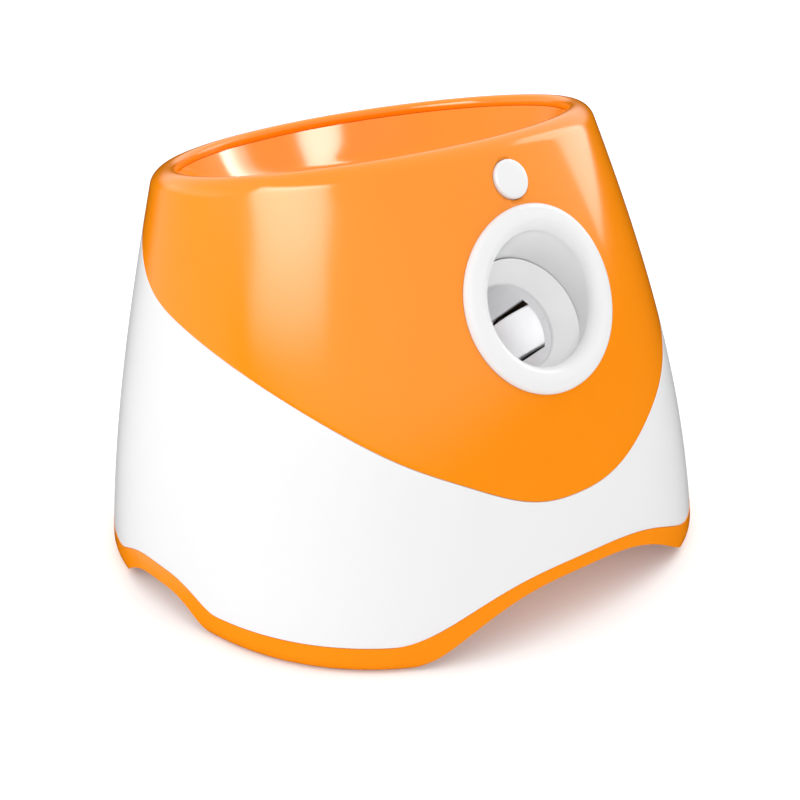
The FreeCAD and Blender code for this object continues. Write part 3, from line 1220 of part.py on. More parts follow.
def dc_socket():
    face = back_at(SOCKET_HEIGHT)
    radius = SOCKET_BARREL_RADIUS
    bore, flange, proud = SOCKET_BORE_RADIUS, SOCKET_FLANGE_RADIUS, SOCKET_FLANGE_THICKNESS
    shape = turned([(bore, 0), (bore, 1 - SOCKET_LENGTH), (0, 1 - SOCKET_LENGTH), (0, -SOCKET_LENGTH),
                    (radius, -SOCKET_LENGTH), (radius, 0.5), (flange, 0.5), (flange, proud),
                    (flange - 0.6, proud + 0.4), (bore, proud + 0.4)])
    pin = turned([(0, 0.5 - SOCKET_LENGTH), (SOCKET_PIN_RADIUS, 0.5 - SOCKET_LENGTH), (SOCKET_PIN_RADIUS, -1.6),
                  (SOCKET_PIN_RADIUS * 0.5, -1), (0, -1)])
    placement = FreeCAD.Placement(V(0, face, SOCKET_HEIGHT), FreeCAD.Rotation(X_AXIS, -90))
    return at(placement, shape.fuse(pin).removeSplitter())


def dc_socket_nut():
    face = back_at(SOCKET_HEIGHT)
    top = -CASING_WALL - 1.0
    nut = turned([(SOCKET_BARREL_RADIUS, top - SOCKET_NUT_THICKNESS), (SOCKET_NUT_RADIUS, top - SOCKET_NUT_THICKNESS),
                  (SOCKET_NUT_RADIUS, top), (SOCKET_BARREL_RADIUS, top)])
    placement = FreeCAD.Placement(V(0, face, SOCKET_HEIGHT), FreeCAD.Rotation(X_AXIS, -90))
    return at(placement, nut)


BOARD_BOTTOM = FLOOR_TOP + BOARD_STANDOFF
BOARD_TOP = BOARD_BOTTOM + BOARD_THICKNESS


def control_board():
    board = box(BOARD_X, BOARD_X + BOARD_WIDTH, -BOARD_DEPTH / 2, BOARD_DEPTH / 2, BOARD_BOTTOM, BOARD_TOP)
    for x, y in board_hole_places():
        board = board.cut(cylinder(SCREW_RADIUS + SCREW_CLEARANCE, 0, FAR, Z_AXIS, V(x, y, 0)))
    return board


def board_chips():
    chips = []
    for x, y, width, depth in ((18, -8, 14, 14), (40, -20, 8, 10), (42, 4, 8, 6)):
        x0 = BOARD_X + x
        chips.append(box(x0, x0 + width, y, y + depth, BOARD_TOP, BOARD_TOP + 1.8))
    return Part.makeCompound(chips)


def board_capacitors():
    cans = []
    for x, y, radius, height in ((16, 20, 5, 14), (30, 20, 5, 14), (46, 22, 4, 11)):
        can = turned([(0, 0), (radius, 0), (radius, height - 0.8), (radius - 0.8, height), (0, height)])
        can.translate(V(BOARD_X + x, y, BOARD_TOP))
        cans.append(can)
    return Part.makeCompound(cans)


def board_relays():
    blocks = []
    for x in (14, 34):
        blocks.append(box(BOARD_X + x, BOARD_X + x + 15, -34, -15 - 7, BOARD_TOP, BOARD_TOP + 14))
    return Part.makeCompound(blocks)


def board_connectors():
    plugs = []
    for y in (-14, 0, 14):
        x0 = BOARD_X + BOARD_WIDTH - 7
        plug = box(x0, x0 + 6, y - 5, y + 5, BOARD_TOP, BOARD_TOP + 7)
        plugs.append(plug.cut(box(x0 + 1, x0 + 7, y - 4, y + 4, BOARD_TOP + 1.5, BOARD_TOP + 8)))
    return Part.makeCompound(plugs)


# ---------------------------------------------------------------- screws
def upright_screws(places, seat, length):
    group = []
    for x, y in places:
        group.append(at(FreeCAD.Placement(V(x, y, seat), FreeCAD.Rotation()), screw(length)))
    return Part.makeCompound(group)


def upturned_screws(places):
    group = []
    for x, y in places:
        group.append(at(FreeCAD.Placement(V(x, y, TRAY_FLOOR), FLIPPED), screw()))
    return Part.makeCompound(group)


def casing_screws():
    return upturned_screws(tray_screw_places())


def frame_screws():
    return upturned_screws(frame_screw_places() + bracket_screw_places())


def board_screws():
    return upright_screws(board_hole_places(), BOARD_TOP, SHORT_SCREW)


def barrel_screws():
    group = []
    for x, z in barrel_screw_places():
        seat = FreeCAD.Placement(V(x, FLANGE_THICKNESS, z), FreeCAD.Rotation(X_AXIS, -90))
        group.append(at(LAUNCH.multiply(seat), screw(SHORT_SCREW)))
    return Part.makeCompound(group)


PARTS = {
    "upper_shell": upper_shell,
    "hopper_funnel": hopper_funnel,
    "lower_shell": lower_shell,
    "base_tray": base_tray,
    "foot_pads": foot_pads,
    "port_bezel": port_bezel,
    "muzzle": muzzle,
    "launch_frame": launch_frame,
    "feed_chute": feed_chute,
    "gate_arm": gate_arm,
    "gate_shaft": gate_shaft,
    "gate_gear": gate_gear,
    "gate_pinion": gate_pinion,
    "gate_motor": gate_motor,
    "gate_bracket": gate_bracket,
    "button_cap": button_cap,
    "button_spring": button_spring,
    "button_board": button_board,
    "button_switch": button_switch,
    "battery_box": battery_box,
    "battery_contacts": battery_contacts,
    "battery_door": battery_door,
    "dc_socket": dc_socket,
    "dc_socket_nut": dc_socket_nut,
    "control_board": control_board,
    "board_chips": board_chips,
    "board_capacitors": board_capacitors,
    "board_relays": board_relays,
    "board_connectors": board_connectors,
    "casing_screws": casing_screws,
    "frame_screws": frame_screws,
    "barrel_screws": barrel_screws,
    "motor_screws": motor_screws,
    "bracket_screws": bracket_screws,
    "button_screws": button_screws,
    "board_screws": board_screws,
}
SIDED = {
    "wheel_tyre": wheel_tyre,
    "wheel_hub": wheel_hub,
    "motor_shaft": motor_shaft,
    "motor": motor,
    "motor_cap": motor_cap,
}
for side_name, side in (("left", -1), ("right", 1)):
    for name, make in SIDED.items():
        PARTS[side_name + "_" + name] = lambda make=make, side=side: make(side)
PARTS["sensor_emitter"] = lambda: sensor(-1)
PARTS["sensor_receiver"] = lambda: sensor(1)
for column in range(CELL_COLUMNS):
    for row in range(CELL_ROWS):
        number = column * CELL_ROWS + row + 1
        PARTS["battery_cell_" + str(number)] = lambda column=column, row=row: battery_cells(column)[row]

os.makedirs("parts", exist_ok=True)
for name, make in PARTS.items():
    make().exportStep("parts/" + name + ".step")
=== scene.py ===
import math

import bpy
import numpy as np
from mathutils import Matrix, Vector


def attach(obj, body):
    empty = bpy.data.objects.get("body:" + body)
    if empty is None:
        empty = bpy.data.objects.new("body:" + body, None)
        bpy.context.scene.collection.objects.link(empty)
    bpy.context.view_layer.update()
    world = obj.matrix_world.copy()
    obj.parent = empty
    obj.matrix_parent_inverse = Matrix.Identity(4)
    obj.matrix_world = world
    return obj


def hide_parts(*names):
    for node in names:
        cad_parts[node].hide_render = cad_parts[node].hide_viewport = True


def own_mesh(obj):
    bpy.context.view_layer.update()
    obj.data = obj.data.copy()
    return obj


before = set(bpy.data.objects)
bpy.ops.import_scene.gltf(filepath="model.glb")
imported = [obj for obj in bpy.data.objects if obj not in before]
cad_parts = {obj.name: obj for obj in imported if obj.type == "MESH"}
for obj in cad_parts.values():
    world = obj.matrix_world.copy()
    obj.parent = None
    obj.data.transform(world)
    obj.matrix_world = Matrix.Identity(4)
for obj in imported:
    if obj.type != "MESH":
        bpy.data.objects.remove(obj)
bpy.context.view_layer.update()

# ---------------------------------------------------------------- Base tray
# The orange tray is the floor of the machine, injection-moulded in glossy ABS. Its wavy band
# closes the casing from below and stands on four feet with an arch between each pair.
ORANGE = (0.93, 0.265, 0.004, 1.0)


def uneven_finish(name, colour, roughness, spread, grain):
    """One even colour with a gloss that varies a little; also gives the noise that the gloss follows."""
    material = bpy.data.materials.new(name)
    material.use_nodes = True
    nodes, links = material.node_tree.nodes, material.node_tree.links
    shader = nodes["Principled BSDF"]
    shader.inputs["Base Color"].default_value = colour
    place = nodes.new("ShaderNodeTexCoord")
    flow = nodes.new("ShaderNodeTexNoise")
    flow.inputs["Scale"].default_value = grain
    gloss = nodes.new("ShaderNodeMapRange")
    gloss.inputs["To Min"].default_value = roughness * (1 - spread)
    gloss.inputs["To Max"].default_value = roughness * (1 + spread)
    links.new(place.outputs["Object"], flow.inputs["Vector"])
    links.new(flow.outputs["Fac"], gloss.inputs["Value"])
    links.new(gloss.outputs["Result"], shader.inputs["Roughness"])
    return material, flow


def moulded(name, colour, roughness, ripple=0.00001, ripple_size=0.03):
    """Moulded plastic or rubber, with a faint ripple from the mould."""
    material, flow = uneven_finish(name, colour, roughness, spread=0.15, grain=1 / ripple_size)
    nodes, links = material.node_tree.nodes, material.node_tree.links
    bump = nodes.new("ShaderNodeBump")
    bump.inputs["Strength"].default_value = 0.6
    bump.inputs["Distance"].default_value = ripple
    links.new(flow.outputs["Fac"], bump.inputs["Height"])
    links.new(bump.outputs["Normal"], nodes["Principled BSDF"].inputs["Normal"])
    return material


def shade_round(piece, crease):
    """Smooth shading, but a crisp edge wherever two faces meet at more than the crease, in degrees."""
    with bpy.context.temp_override(object=piece, active_object=piece, selected_objects=[piece],
                                   selected_editable_objects=[piece]):
        bpy.ops.object.shade_auto_smooth(angle=math.radians(crease))


def finish_nodes(material, *names):
    """Gives nodes of the frame their finish and rounds the shading of their curved faces."""
    for name in names:
        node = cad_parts[name]
        for place in node.material_slots:
            place.material = material
        shade_round(node, crease=35)


orange_plastic = moulded("orange_plastic", ORANGE, roughness=0.13)
finish_nodes(orange_plastic, "base_tray")

# ---------------------------------------------------------------- Foot pads
# Four soft black rubber discs, moulded with a fine matt grain. One is pressed into each foot, so
# that the machine doesn't slide on a smooth floor.
PAD_BLACK = (0.03, 0.03, 0.032, 1.0)

pad_rubber = moulded("pad_rubber", PAD_BLACK, roughness=0.7, ripple=0.00004, ripple_size=0.002)
finish_nodes(pad_rubber, "foot_pads")

# ---------------------------------------------------------------- Lower shell
# White glossy wall of the lower half. It is one oval moulding that leans in towards the top and
# stands on the tray's band below; the orange shell closes on its curved upper edge.
MM = 0.001
BASE_HALF_WIDTH, RIM_HALF_WIDTH = 170.0, 137.4
BASE_HALF_DEPTH, RIM_FRONT, RIM_BACK = 154.5, 83.1, 125.1
BASE_SQUARENESS, RIM_SQUARENESS = 2.49, 1.95
RIM_HEIGHT = 245.0
TILT = math.tan(math.radians(10.2))
WALL, EDGE_ROUND, SEAM_GAP = 2.6, 0.35, 0.2
TURNS = 288
PARTING_LINE = ((-175.0, 24.0), (-156.0, 54.0), (-145.0, 76.0), (-132.0, 96.0), (-117.5, 109.0),
                (-88.7, 129.0), (-48.5, 149.0), (0.0, 165.0), (46.0, 179.0), (88.0, 203.0),
                (128.0, 210.5), (180.0, 211.0))
BAND_HEIGHT = 15.0
FRONT_WAVE_RISE, FRONT_WAVE_HALF_WIDTH = 25.0, 115.0
SIDE_WAVE_RISE, SIDE_WAVE_HALF_WIDTH, SIDE_WAVE_Y = 11.0, 52.0, 12.0
SOCKET_RADIUS, SOCKET_HEIGHT = 6.15, 92.0
WHITE = (0.8, 0.8, 0.805, 1.0)


def side_line(z, low, high, low_draft, high_draft):
    """Distance from the middle plane at height z: a curve with set ends and set drafts, in degrees."""
    t = z / RIM_HEIGHT
    start = -RIM_HEIGHT * math.tan(math.radians(low_draft))
    end = -RIM_HEIGHT * math.tan(math.radians(high_draft))
    return (low * (2 * t ** 3 - 3 * t ** 2 + 1) + start * (t ** 3 - 2 * t ** 2 + t)
            + high * (3 * t ** 2 - 2 * t ** 3) + end * (t ** 3 - t ** 2))


def front_at(z):
    return side_line(z, BASE_HALF_DEPTH, RIM_FRONT, low_draft=4.5, high_draft=31.0)


def back_at(z):
    return side_line(z, BASE_HALF_DEPTH, RIM_BACK, low_draft=2.1, high_draft=17.7)


def half_width_at(z):
    return side_line(z, BASE_HALF_WIDTH, RIM_HALF_WIDTH, low_draft=0.0, high_draft=9.7)


def squareness_at(z):
    return BASE_SQUARENESS + (RIM_SQUARENESS - BASE_SQUARENESS) * z / RIM_HEIGHT


def casing_point(turn, z, inset):
    """Point of the casing's oval at height z; the turn runs from the back and the inset is inwards."""
    front, back, squareness = front_at(z), back_at(z), squareness_at(z)
    c, s = math.cos(turn), math.sin(turn)
    reach = (abs(c) ** squareness + abs(s) ** squareness) ** (-1 / squareness)
    x = (half_width_at(z) - inset) * reach * s
    y = (back - front) / 2 + ((front + back) / 2 - inset) * reach * c
    return x, y, z


def settle(turn, inset, height_at):
    """Point of the oval at the height that a rule gives for that very point, found step by step."""
    z = height_at(0.0, 0.0)
    for _ in range(30):
        x, y, _ = casing_point(turn, z, inset)
        z = 0.5 * z + 0.5 * height_at(x, y)
    return casing_point(turn, z, inset)


def natural_spline(knots, values, at):
    """Cubic curve through points, with no bend at its ends; values may have any number of columns."""
    knots, values, at = np.array(knots), np.array(values, float), np.array(at)
    gaps = np.diff(knots)
    size = len(knots)
    system = np.eye(size)
    right = np.zeros(values.shape)
    for k in range(1, size - 1):
        system[k, k - 1:k + 2] = gaps[k - 1], 2 * (gaps[k - 1] + gaps[k]), gaps[k]
        right[k] = 6 * ((values[k + 1] - values[k]) / gaps[k] - (values[k] - values[k - 1]) / gaps[k - 1])
    bend = np.linalg.solve(system, right.reshape(size, -1)).reshape(values.shape)
    k = np.clip(np.searchsorted(knots, at) - 1, 0, size - 2)
    h, a, b = gaps[k], knots[k + 1] - at, at - knots[k]
    wide = (slice(None),) + (None,) * (values.ndim - 1)
    h, a, b = h[wide], a[wide], b[wide]
    return (bend[k] * a ** 3 / (6 * h) + bend[k + 1] * b ** 3 / (6 * h)
            + (values[k] / h - bend[k] * h / 6) * a + (values[k + 1] / h - bend[k + 1] * h / 6) * b)


def chord_lengths(points):
    steps = [math.dist(a, b) for a, b in zip(points, points[1:])]
    return [sum(steps[:k]) for k in range(len(points))]


line_spans = chord_lengths(PARTING_LINE)
parting_curve = natural_spline(line_spans, PARTING_LINE, np.linspace(0, line_spans[-1], 800))


def parting_height(y):
    """Height of the seam between the white and the orange shell."""
    return float(np.interp(y, parting_curve[:, 0], parting_curve[:, 1]))


def bell(share):
    """1 in the middle, easing to 0 at a share of 1 on either side."""
    return (1 - min(1.0, abs(share)) ** 3) ** 2


def band_height(x, y):
    """Upper edge of the tray's orange band, which rises in a wave over each arch."""
    if abs(y) > BASE_HALF_DEPTH / 2:
        return BAND_HEIGHT + FRONT_WAVE_RISE * bell(x / FRONT_WAVE_HALF_WIDTH)
    return BAND_HEIGHT + SIDE_WAVE_RISE * bell((y - SIDE_WAVE_Y) / SIDE_WAVE_HALF_WIDTH)


def placed(name, data):
    """Puts a mesh, a lamp or a camera into the scene under a name."""
    piece = bpy.data.objects.new(name, data)
    bpy.context.collection.objects.link(piece)
    return piece


def closed_mesh(name, columns):
    """Smooth closed surface from columns of points; both the columns and each column run round."""
    high, wide = len(columns[0]), len(columns)
    vertices = [Vector(point) * MM for column in columns for point in column]
    faces = []
    for k in range(wide):
        for j in range(high):
            a, b = k * high, (k + 1) % wide * high
            faces.append((a + j, b + j, b + (j + 1) % high, a + (j + 1) % high))
    mesh = bpy.data.meshes.new(name)
    mesh.from_pydata(vertices, [], faces)
    mesh.validate()
    mesh.shade_smooth()
    return placed(name, mesh)


def turns(count):
    """Angles in even steps round a full turn."""
    return [2 * math.pi * k / count for k in range(count)]


def between(low, high, count, squeeze=0.0):
    """Numbers from low to high; squeeze crowds them towards both ends."""
    shares = [k / (count - 1) for k in range(count)]
    crowded = [0.5 - 0.5 * math.cos(math.pi * share) for share in shares]
    return [low + (high - low) * ((1 - squeeze) * s + squeeze * c) for s, c in zip(shares, crowded)]


def lower_wall(turn):
    """One upright section of the white wall: up its outside, over the edge and back down inside."""
    low = settle(turn, 0.0, lambda x, y: band_height(x, y) + SEAM_GAP)[2]
    high = settle(turn, 0.0, lambda x, y: parting_height(y) - SEAM_GAP / 2)[2]
    outside = between(low + EDGE_ROUND, high - EDGE_ROUND, 40, squeeze=0.8)
    section = [casing_point(turn, z, 0.0) for z in outside]
    for inset, drop in ((0.1, 0.1), (EDGE_ROUND, 0.0), (WALL - EDGE_ROUND, 0.0), (WALL, EDGE_ROUND)):
        section.append(casing_point(turn, high - drop, inset))
    for z in between(high - 2 * EDGE_ROUND, low + 2 * EDGE_ROUND, 12):
        section.append(casing_point(turn, z, WALL))
    for inset, rise in ((WALL, EDGE_ROUND), (WALL - EDGE_ROUND, 0.0), (EDGE_ROUND, 0.0), (0.1, 0.1)):
        section.append(casing_point(turn, low + rise, inset))
    return section


def drill(piece, radius, depth, at):
    """Cuts a round hole through a piece, along Z of a place."""
    sides = 96
    ring = [Vector((radius * math.cos(a), radius * math.sin(a), 0)) for a in turns(sides)]
    vertices = [at @ (point + Vector((0, 0, height))) * MM for height in (-depth, depth) for point in ring]
    faces = [(k, (k + 1) % sides, sides + (k + 1) % sides, sides + k) for k in range(sides)]
    faces += [tuple(reversed(range(sides))), tuple(range(sides, 2 * sides))]
    mesh = bpy.data.meshes.new("drill")
    mesh.from_pydata(vertices, [], faces)
    bit = placed("drill", mesh)
    cut = piece.modifiers.new("hole", "BOOLEAN")
    cut.object = bit
    cut.solver = "EXACT"
    bpy.context.view_layer.update()
    cut_mesh = bpy.data.meshes.new_from_object(piece.evaluated_get(bpy.context.evaluated_depsgraph_get()))
    piece.modifiers.clear()
    piece.data = cut_mesh
    bpy.data.objects.remove(bit)


def dress(piece, node, material, body="casing"):
    """The piece stands for a node of the frame, in its place and on its body."""
    piece.data.materials.clear()
    piece.data.materials.append(material)
    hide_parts(node)
    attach(piece, body)


white_plastic = moulded("white_plastic", WHITE, roughness=0.2)
lower_wall_piece = closed_mesh("white_lower_wall", [lower_wall(turn) for turn in turns(TURNS)])
socket_place = Matrix.Translation((0, back_at(SOCKET_HEIGHT), SOCKET_HEIGHT))
drill(lower_wall_piece, SOCKET_RADIUS, depth=12.0, at=socket_place @ Matrix.Rotation(-math.pi / 2, 4, "X"))
dress(lower_wall_piece, "lower_shell", white_plastic)

# ---------------------------------------------------------------- Upper shell
# Orange glossy top casing, moulded in one with the rolled rim round the hopper. It reaches down
# at the front in a rounded tongue that carries the port.
LIP_RADIUS, LIP_INNER_RADIUS, LIP_DEPTH = 8.7, 5.5, 6.2
LIP_WIDTH = LIP_RADIUS + LIP_INNER_RADIUS
PORT_HEIGHT, PORT_ELEVATION, PORT_HOLE_RADIUS = 180.0, 22.6, 42.05
BUTTON_HEIGHT, BUTTON_ELEVATION, BUTTON_HOLE_RADIUS = 239.0, 30.0, 11.35


def facing(point, elevation):
    """Place whose Z looks to the front and up by an elevation."""
    return Matrix.Translation(point) @ Matrix.Rotation(math.radians(90 - elevation), 4, "X")


def under_rim(turn, inset, drop):
    """Point of the oval at a drop below the tilted plane of the rim."""
    return settle(turn, inset, lambda x, y: RIM_HEIGHT - drop - TILT * y)


def quarter(count):
    """Angles in even steps from 0 to 90 degrees."""
    return [math.pi / 2 * k / count for k in range(count + 1)]


def upper_wall(turn):
    """One upright section of the orange shell, over the rolled rim and back down inside."""
    low = settle(turn, 0.0, lambda x, y: parting_height(y) + SEAM_GAP / 2)[2]
    high = under_rim(turn, 0.0, LIP_RADIUS)[2]
    outside = between(low + EDGE_ROUND, high, 36, squeeze=0.5)
    section = [casing_point(turn, z, 0.0) for z in outside]
    for a in quarter(12)[1:]:
        section.append(under_rim(turn, LIP_RADIUS * (1 - math.cos(a)), LIP_RADIUS * (1 - math.sin(a))))
    for a in quarter(8)[1:]:
        inset = LIP_RADIUS + LIP_INNER_RADIUS * math.sin(a)
        section.append(under_rim(turn, inset, LIP_INNER_RADIUS * (1 - math.cos(a))))
    for inset, drop in ((LIP_WIDTH, LIP_DEPTH - 0.3), (LIP_WIDTH - 0.3, LIP_DEPTH),
                        (LIP_WIDTH - WALL + 0.4, LIP_DEPTH), (LIP_WIDTH - WALL, LIP_DEPTH - 0.4)):
        section.append(under_rim(turn, inset, drop))
    inner, outer = LIP_INNER_RADIUS - WALL, LIP_RADIUS - WALL
    for a in quarter(6)[::-1]:
        section.append(under_rim(turn, LIP_RADIUS + inner * math.sin(a), WALL + inner * (1 - math.cos(a))))
    for a in quarter(8)[-2::-1]:
        section.append(under_rim(turn, LIP_RADIUS - outer * math.cos(a), LIP_RADIUS - outer * math.sin(a)))
    for z in between(section[-1][2], low + EDGE_ROUND, 14)[1:]:
        section.append(casing_point(turn, z, WALL))
    for inset, rise in ((WALL - EDGE_ROUND, 0.0), (EDGE_ROUND, 0.0), (0.1, 0.1)):
        section.append(casing_point(turn, low + rise, inset))
    return section


port_place = facing((0, -front_at(PORT_HEIGHT), PORT_HEIGHT), PORT_ELEVATION)
button_place = facing((0, -front_at(BUTTON_HEIGHT), BUTTON_HEIGHT), BUTTON_ELEVATION)
upper_wall_piece = closed_mesh("orange_upper_wall", [upper_wall(turn) for turn in turns(TURNS)])
drill(upper_wall_piece, PORT_HOLE_RADIUS, depth=30.0, at=port_place)
drill(upper_wall_piece, BUTTON_HOLE_RADIUS, depth=14.0, at=button_place)
dress(upper_wall_piece, "upper_shell", orange_plastic)

# ---------------------------------------------------------------- Hopper funnel
# Orange bowl under the rim, a separate moulding held in the upper shell by its collar. It leads
# every ball to the round throat.
FUNNEL_WALL = 2.2
FUNNEL_GAP = 0.1
THROAT_RADIUS, THROAT_Y, THROAT_TOP = 28.0, 15.0, 181.0
# A row of the bowl gives its share of the way in to the throat, of the height, of the rim's tilt
# and of the wall that lies straight below. A row of the throat gives its extra radius, its rise
# and its share of the wall below.
BOWL_ROWS = ((0.0, 1.0, 1.0, 0.0), (0.055, 0.80, 0.9, 0.15), (0.125, 0.57, 0.72, 0.4),
             (0.225, 0.37, 0.45, 0.7), (0.37, 0.22, 0.18, 0.95), (0.56, 0.12, 0.05, 1.0),
             (0.76, 0.06, 0.0, 1.0), (0.92, 0.025, 0.0, 1.0))
THROAT_ROWS = ((3.6, 0.4, 0.95), (1.6, -0.8, 0.7), (0.4, -2.6, 0.3), (0.0, -4.6, 0.0), (0.0, -8.0, 0.0))


def funnel_rings(offset):
    """Rings down one face of the funnel that turn from the rim's oval into the round throat."""
    start = RIM_HEIGHT - LIP_DEPTH - SEAM_GAP / 2
    inset = LIP_WIDTH + FUNNEL_GAP - offset
    radius = THROAT_RADIUS + offset
    edges = [settle(turn, inset, lambda x, y: start - TILT * y) for turn in turns(TURNS)]
    rings = []
    for share, rise, tilt_share, below in BOWL_ROWS:
        points = []
        for turn, edge in zip(turns(TURNS), edges):
            x = edge[0] + (radius * math.sin(turn) - edge[0]) * share
            y = edge[1] + (THROAT_Y + radius * math.cos(turn) - edge[1]) * share
            z = THROAT_TOP + (start - THROAT_TOP) * rise - tilt_share * TILT * edge[1] - offset * below
            points.append((x, y, z))
        rings.append(points)
    for extra, rise, below in THROAT_ROWS:
        wide, z = radius + extra, THROAT_TOP + rise - offset * below
        rings.append([(wide * math.sin(a), THROAT_Y + wide * math.cos(a), z) for a in turns(TURNS)])
    return np.array(rings)


def filled_rows(rings, count):
    """Many rows through a few rings, along smooth curves."""
    steps = np.linalg.norm(np.diff(rings, axis=0), axis=2).mean(axis=1)
    spans = np.concatenate(([0.0], np.cumsum(steps)))
    return natural_spline(spans, rings, np.linspace(0, spans[-1], count))


inside_rows = filled_rows(funnel_rings(0.0), count=72)
outside_rows = filled_rows(funnel_rings(FUNNEL_WALL), count=40)[::-1]
funnel_columns = np.concatenate((inside_rows, outside_rows)).transpose(1, 0, 2).tolist()
funnel_piece = closed_mesh("orange_funnel", funnel_columns)
shade_round(funnel_piece, crease=30)
dress(funnel_piece, "hopper_funnel", orange_plastic)

# ---------------------------------------------------------------- Port bezel
# White ring that finishes the hole of the port. Its flange lies on the curved shell and its
# sleeve narrows back to the muzzle.
BEZEL_RADIUS, BEZEL_LIP, BEZEL_PROUD = 51.3, 36.4, 4.6
BEZEL_ROUND, BEZEL_LIP_ROUND = 3.4, 8.0
FLANGE_GAP = 0.25
SLEEVE_WALL, SLEEVE_GAP, SLEEVE_SHOULDER, SLEEVE_BACK = 2.2, 0.3, 0.6, -4.0
MUZZLE_MOUTH, MUZZLE_RADIUS, LAUNCH_ELEVATION = (0, -101.3, 164.2), 35.4, 40.0

launch_place = facing(MUZZLE_MOUTH, LAUNCH_ELEVATION)


def casing_side(point, inset):
    """Below 1 inside the casing's oval, above 1 outside it."""
    x, y, z = point
    front, back, squareness = front_at(z), back_at(z), squareness_at(z)
    half_width = half_width_at(z) - inset
    half_depth = (front + back) / 2 - inset
    middle = (back - front) / 2
    return (abs(x) / half_width) ** squareness + (abs(y - middle) / half_depth) ** squareness


def ring_point(place, radius, turn, height):
    """Point at a radius and turn about Z of a place."""
    return place @ Vector((radius * math.sin(turn), radius * math.cos(turn), height))


def on_casing(place, radius, turn, inset):
    """How far along Z of a place a point at a radius meets the casing's wall, found by halving."""
    low, high = -40.0, 25.0
    for _ in range(40):
        height = (low + high) / 2
        inside = casing_side(ring_point(place, radius, turn, height), inset) < 1
        low, high = (height, high) if inside else (low, height)
    return (low + high) / 2


def bezel_section(turn):
    """One section of the bezel, from under its flange over the face and down the sleeve."""

    def face(radius):
        return on_casing(port_place, radius, turn, -BEZEL_PROUD)

    def seated(radius):
        return ring_point(port_place, radius, turn, on_casing(port_place, radius, turn, -FLANGE_GAP))

    section = [seated(BEZEL_RADIUS)]
    for a in quarter(8):
        radius = BEZEL_RADIUS - BEZEL_ROUND * (1 - math.cos(a))
        height = face(radius) - BEZEL_ROUND * (1 - math.sin(a))
        section.append(ring_point(port_place, radius, turn, height))
    for radius in between(BEZEL_RADIUS - BEZEL_ROUND, BEZEL_LIP + BEZEL_LIP_ROUND, 4)[1:]:
        section.append(ring_point(port_place, radius, turn, face(radius)))
    for a in quarter(10)[1:]:
        radius = BEZEL_LIP + BEZEL_LIP_ROUND * (1 - math.sin(a))
        height = face(radius) - BEZEL_LIP_ROUND * (1 - math.cos(a))
        section.append(ring_point(port_place, radius, turn, height))
    lip = section[-1]
    inner = MUZZLE_RADIUS + SLEEVE_GAP
    back = ring_point(launch_place, inner, turn, SLEEVE_BACK)
    outer_back = ring_point(launch_place, inner + SLEEVE_WALL, turn, SLEEVE_BACK)
    seat = seated(BEZEL_LIP + SLEEVE_WALL + SLEEVE_SHOULDER)
    section += [lip.lerp(back, share) for share in between(0.0, 1.0, 12)[1:]]
    section += [outer_back, outer_back.lerp(seat, 0.5), seat]
    return section


bezel_piece = closed_mesh("port_ring", [bezel_section(turn) for turn in turns(160)])
dress(bezel_piece, "port_bezel", white_plastic)

# ---------------------------------------------------------------- Muzzle
# White moulded ring at the mouth of the barrel, with a cone that guides the ball out. It is
# pushed over the barrel's two halves and holds their front ends together.
BORE_RADIUS, SEAT_RADIUS, COLLAR_RADIUS = 25.5, 28.6, 31.0
MUZZLE_PROFILE = ((MUZZLE_RADIUS, -0.3), (35.3, -0.08), (35.05, 0.0), (34.8, -0.08), (34.4, -0.7),
                  (26.4, -11.1), (25.9, -11.7), (25.6, -12.4), (BORE_RADIUS, -13.8),
                  (SEAT_RADIUS, -13.8), (SEAT_RADIUS, -20.0), (COLLAR_RADIUS, -20.0),
                  (COLLAR_RADIUS, -14.4), (MUZZLE_RADIUS, -1.8))


def turned(name, place, profile, count=144):
    """Piece turned about Z of a place from (radius, height) corners that run round."""
    columns = [[ring_point(place, radius, a, height) for radius, height in profile] for a in turns(count)]
    piece = closed_mesh(name, columns)
    shade_round(piece, crease=30)
    return piece


muzzle_piece = turned("muzzle_ring", launch_place, MUZZLE_PROFILE)
dress(muzzle_piece, "muzzle", white_plastic)

# ---------------------------------------------------------------- Button
# White moulded push button above the port that starts the machine. Its low domed cap slides in a
# hole of the shell, and a collar at its foot keeps it from coming out.
CAP_RADIUS, CAP_COLLAR_RADIUS, CAP_HOLLOW_RADIUS, STEM_RADIUS = 11.0, 12.5, 9.2, 2.4
# The profile stops just short of the axis, where its points would fall together.
CAP_MIDDLE = 0.02
CAP_PROFILE = ((CAP_MIDDLE, 3.1), (2.0, 3.08), (4.3, 2.98), (6.6, 2.78), (8.5, 2.52), (9.7, 2.3),
               (10.3, 2.05), (10.7, 1.7), (10.9, 1.3), (CAP_RADIUS, 0.8), (CAP_RADIUS, -4.4),
               (CAP_COLLAR_RADIUS, -4.4), (CAP_COLLAR_RADIUS, -5.6), (CAP_HOLLOW_RADIUS, -5.6),
               (CAP_HOLLOW_RADIUS, 0.2), (STEM_RADIUS, 0.2), (STEM_RADIUS, -5.1), (CAP_MIDDLE, -5.1))

button_piece = turned("push_button", button_place, CAP_PROFILE)
dress(button_piece, "button_cap", white_plastic, "button")

# ---------------------------------------------------------------- Button spring
# Small coil spring of steel wire round the button's stem, with a flat half turn at each end. It
# stands under the cap and shortens as the button goes in.
SPRING_RADIUS, SPRING_WIRE, SPRING_TURNS = 5.5, 0.8, 3
SPRING_LOW, SPRING_HIGH, SPRING_GAP = -10.4, 0.2, 0.02
STEEL_GREY = (0.62, 0.63, 0.65, 1.0)


